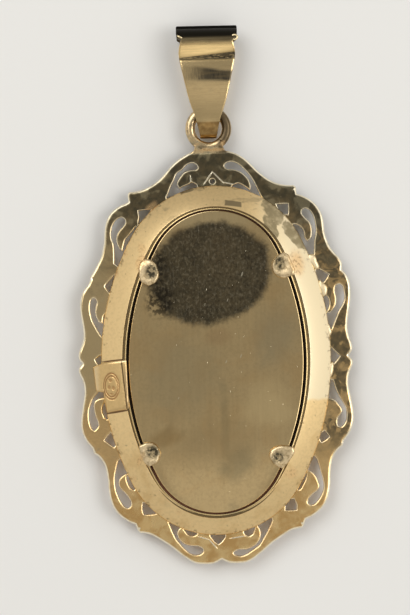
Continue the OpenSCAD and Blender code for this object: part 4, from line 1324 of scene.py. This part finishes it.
# %% The floor
floor_mesh = bpy.data.meshes.new("floor")
floor_mesh.from_pydata([(x, y, 0) for x, y in ((-3, -3), (3, -3), (3, 3), (-3, 3))], [], [(0, 1, 2, 3)])
floor = placed("floor", floor_mesh)
paper = bpy.data.materials.new("pale_paper")
paper.use_nodes = True
sheen = paper.node_tree.nodes["Principled BSDF"].inputs
sheen["Base Color"].default_value = rgb(0.8, 0.79, 0.76)
sheen["Roughness"].default_value = 0.8
floor_mesh.materials.append(paper)

# %% [markdown]
# Polished gold shows whatever is round it. The sky of this scene is a dim room with soft boxes at its sides,
# each a smooth patch of light in one direction.

# %% The soft room
scene = bpy.context.scene
scene.view_settings.view_transform = "Standard"
room = bpy.data.worlds.new("soft_room")
scene.world = room
start = Tone(cleared(room))
way = start.add("ShaderNodeTexCoord", output="Generated")


def direction(compass, height):
    """A direction of length 1. compass is degrees from +X, height is degrees above the floor."""
    c, h = math.radians(compass), math.radians(height)
    return math.cos(c) * math.cos(h), math.sin(c) * math.cos(h), math.sin(h)


def soft_box(compass, height, size, blur, brightness):
    """A round patch of light, size degrees in radius, with an edge that is blur degrees soft."""
    centre = direction(compass, height)
    near = start.add("ShaderNodeVectorMath", {"operation": "DOT_PRODUCT"}, {0: way, 1: centre}, "Value")
    outer, inner = (math.cos(math.radians(angle)) for angle in (size + blur, max(size - blur, 0)))
    return near.step(outer, inner) * brightness


north, up = way.parts("YZ")
low_light = up.step(0.95, 0.6) * up.step(-0.3, 0.1) * (0.53 - north * 0.08)
overhead = up.step(0.55, 0.97) * (0.36 - north * 0.3)
foot_glow = up.step(0.96, 0.99) * north.step(-0.066, -0.072) * 0.2
boxes = soft_box(18, 26, 36, 14, 0.4) + soft_box(170, 25, 24, 16, 0.2) + soft_box(-90, 60, 6, 4, 0.55)
sky = start.add("ShaderNodeBackground", sockets={"Strength": low_light + overhead + foot_glow + boxes,
                                                 "Color": rgb(1, 0.98, 0.94)})
start.add("ShaderNodeOutputWorld", sockets={"Surface": sky})


LAMP_AWAY = 0.5


def lamp(name, compass, height, size, power):
    """A square lamp that looks at the pendant from LAMP_AWAY metres."""
    light = bpy.data.lights.new(name, "AREA")
    light.energy, light.size = power, size
    hung = placed(name, light)
    hung.location = Vector(direction(compass, height)) * LAMP_AWAY
    hung.rotation_euler = (-hung.location).to_track_quat("-Z", "Y").to_euler()


lamp("upper_left_lamp", 130, 58, 0.3, 0.8)
lamp("right_lamp", 0, 58, 0.25, 0.6)
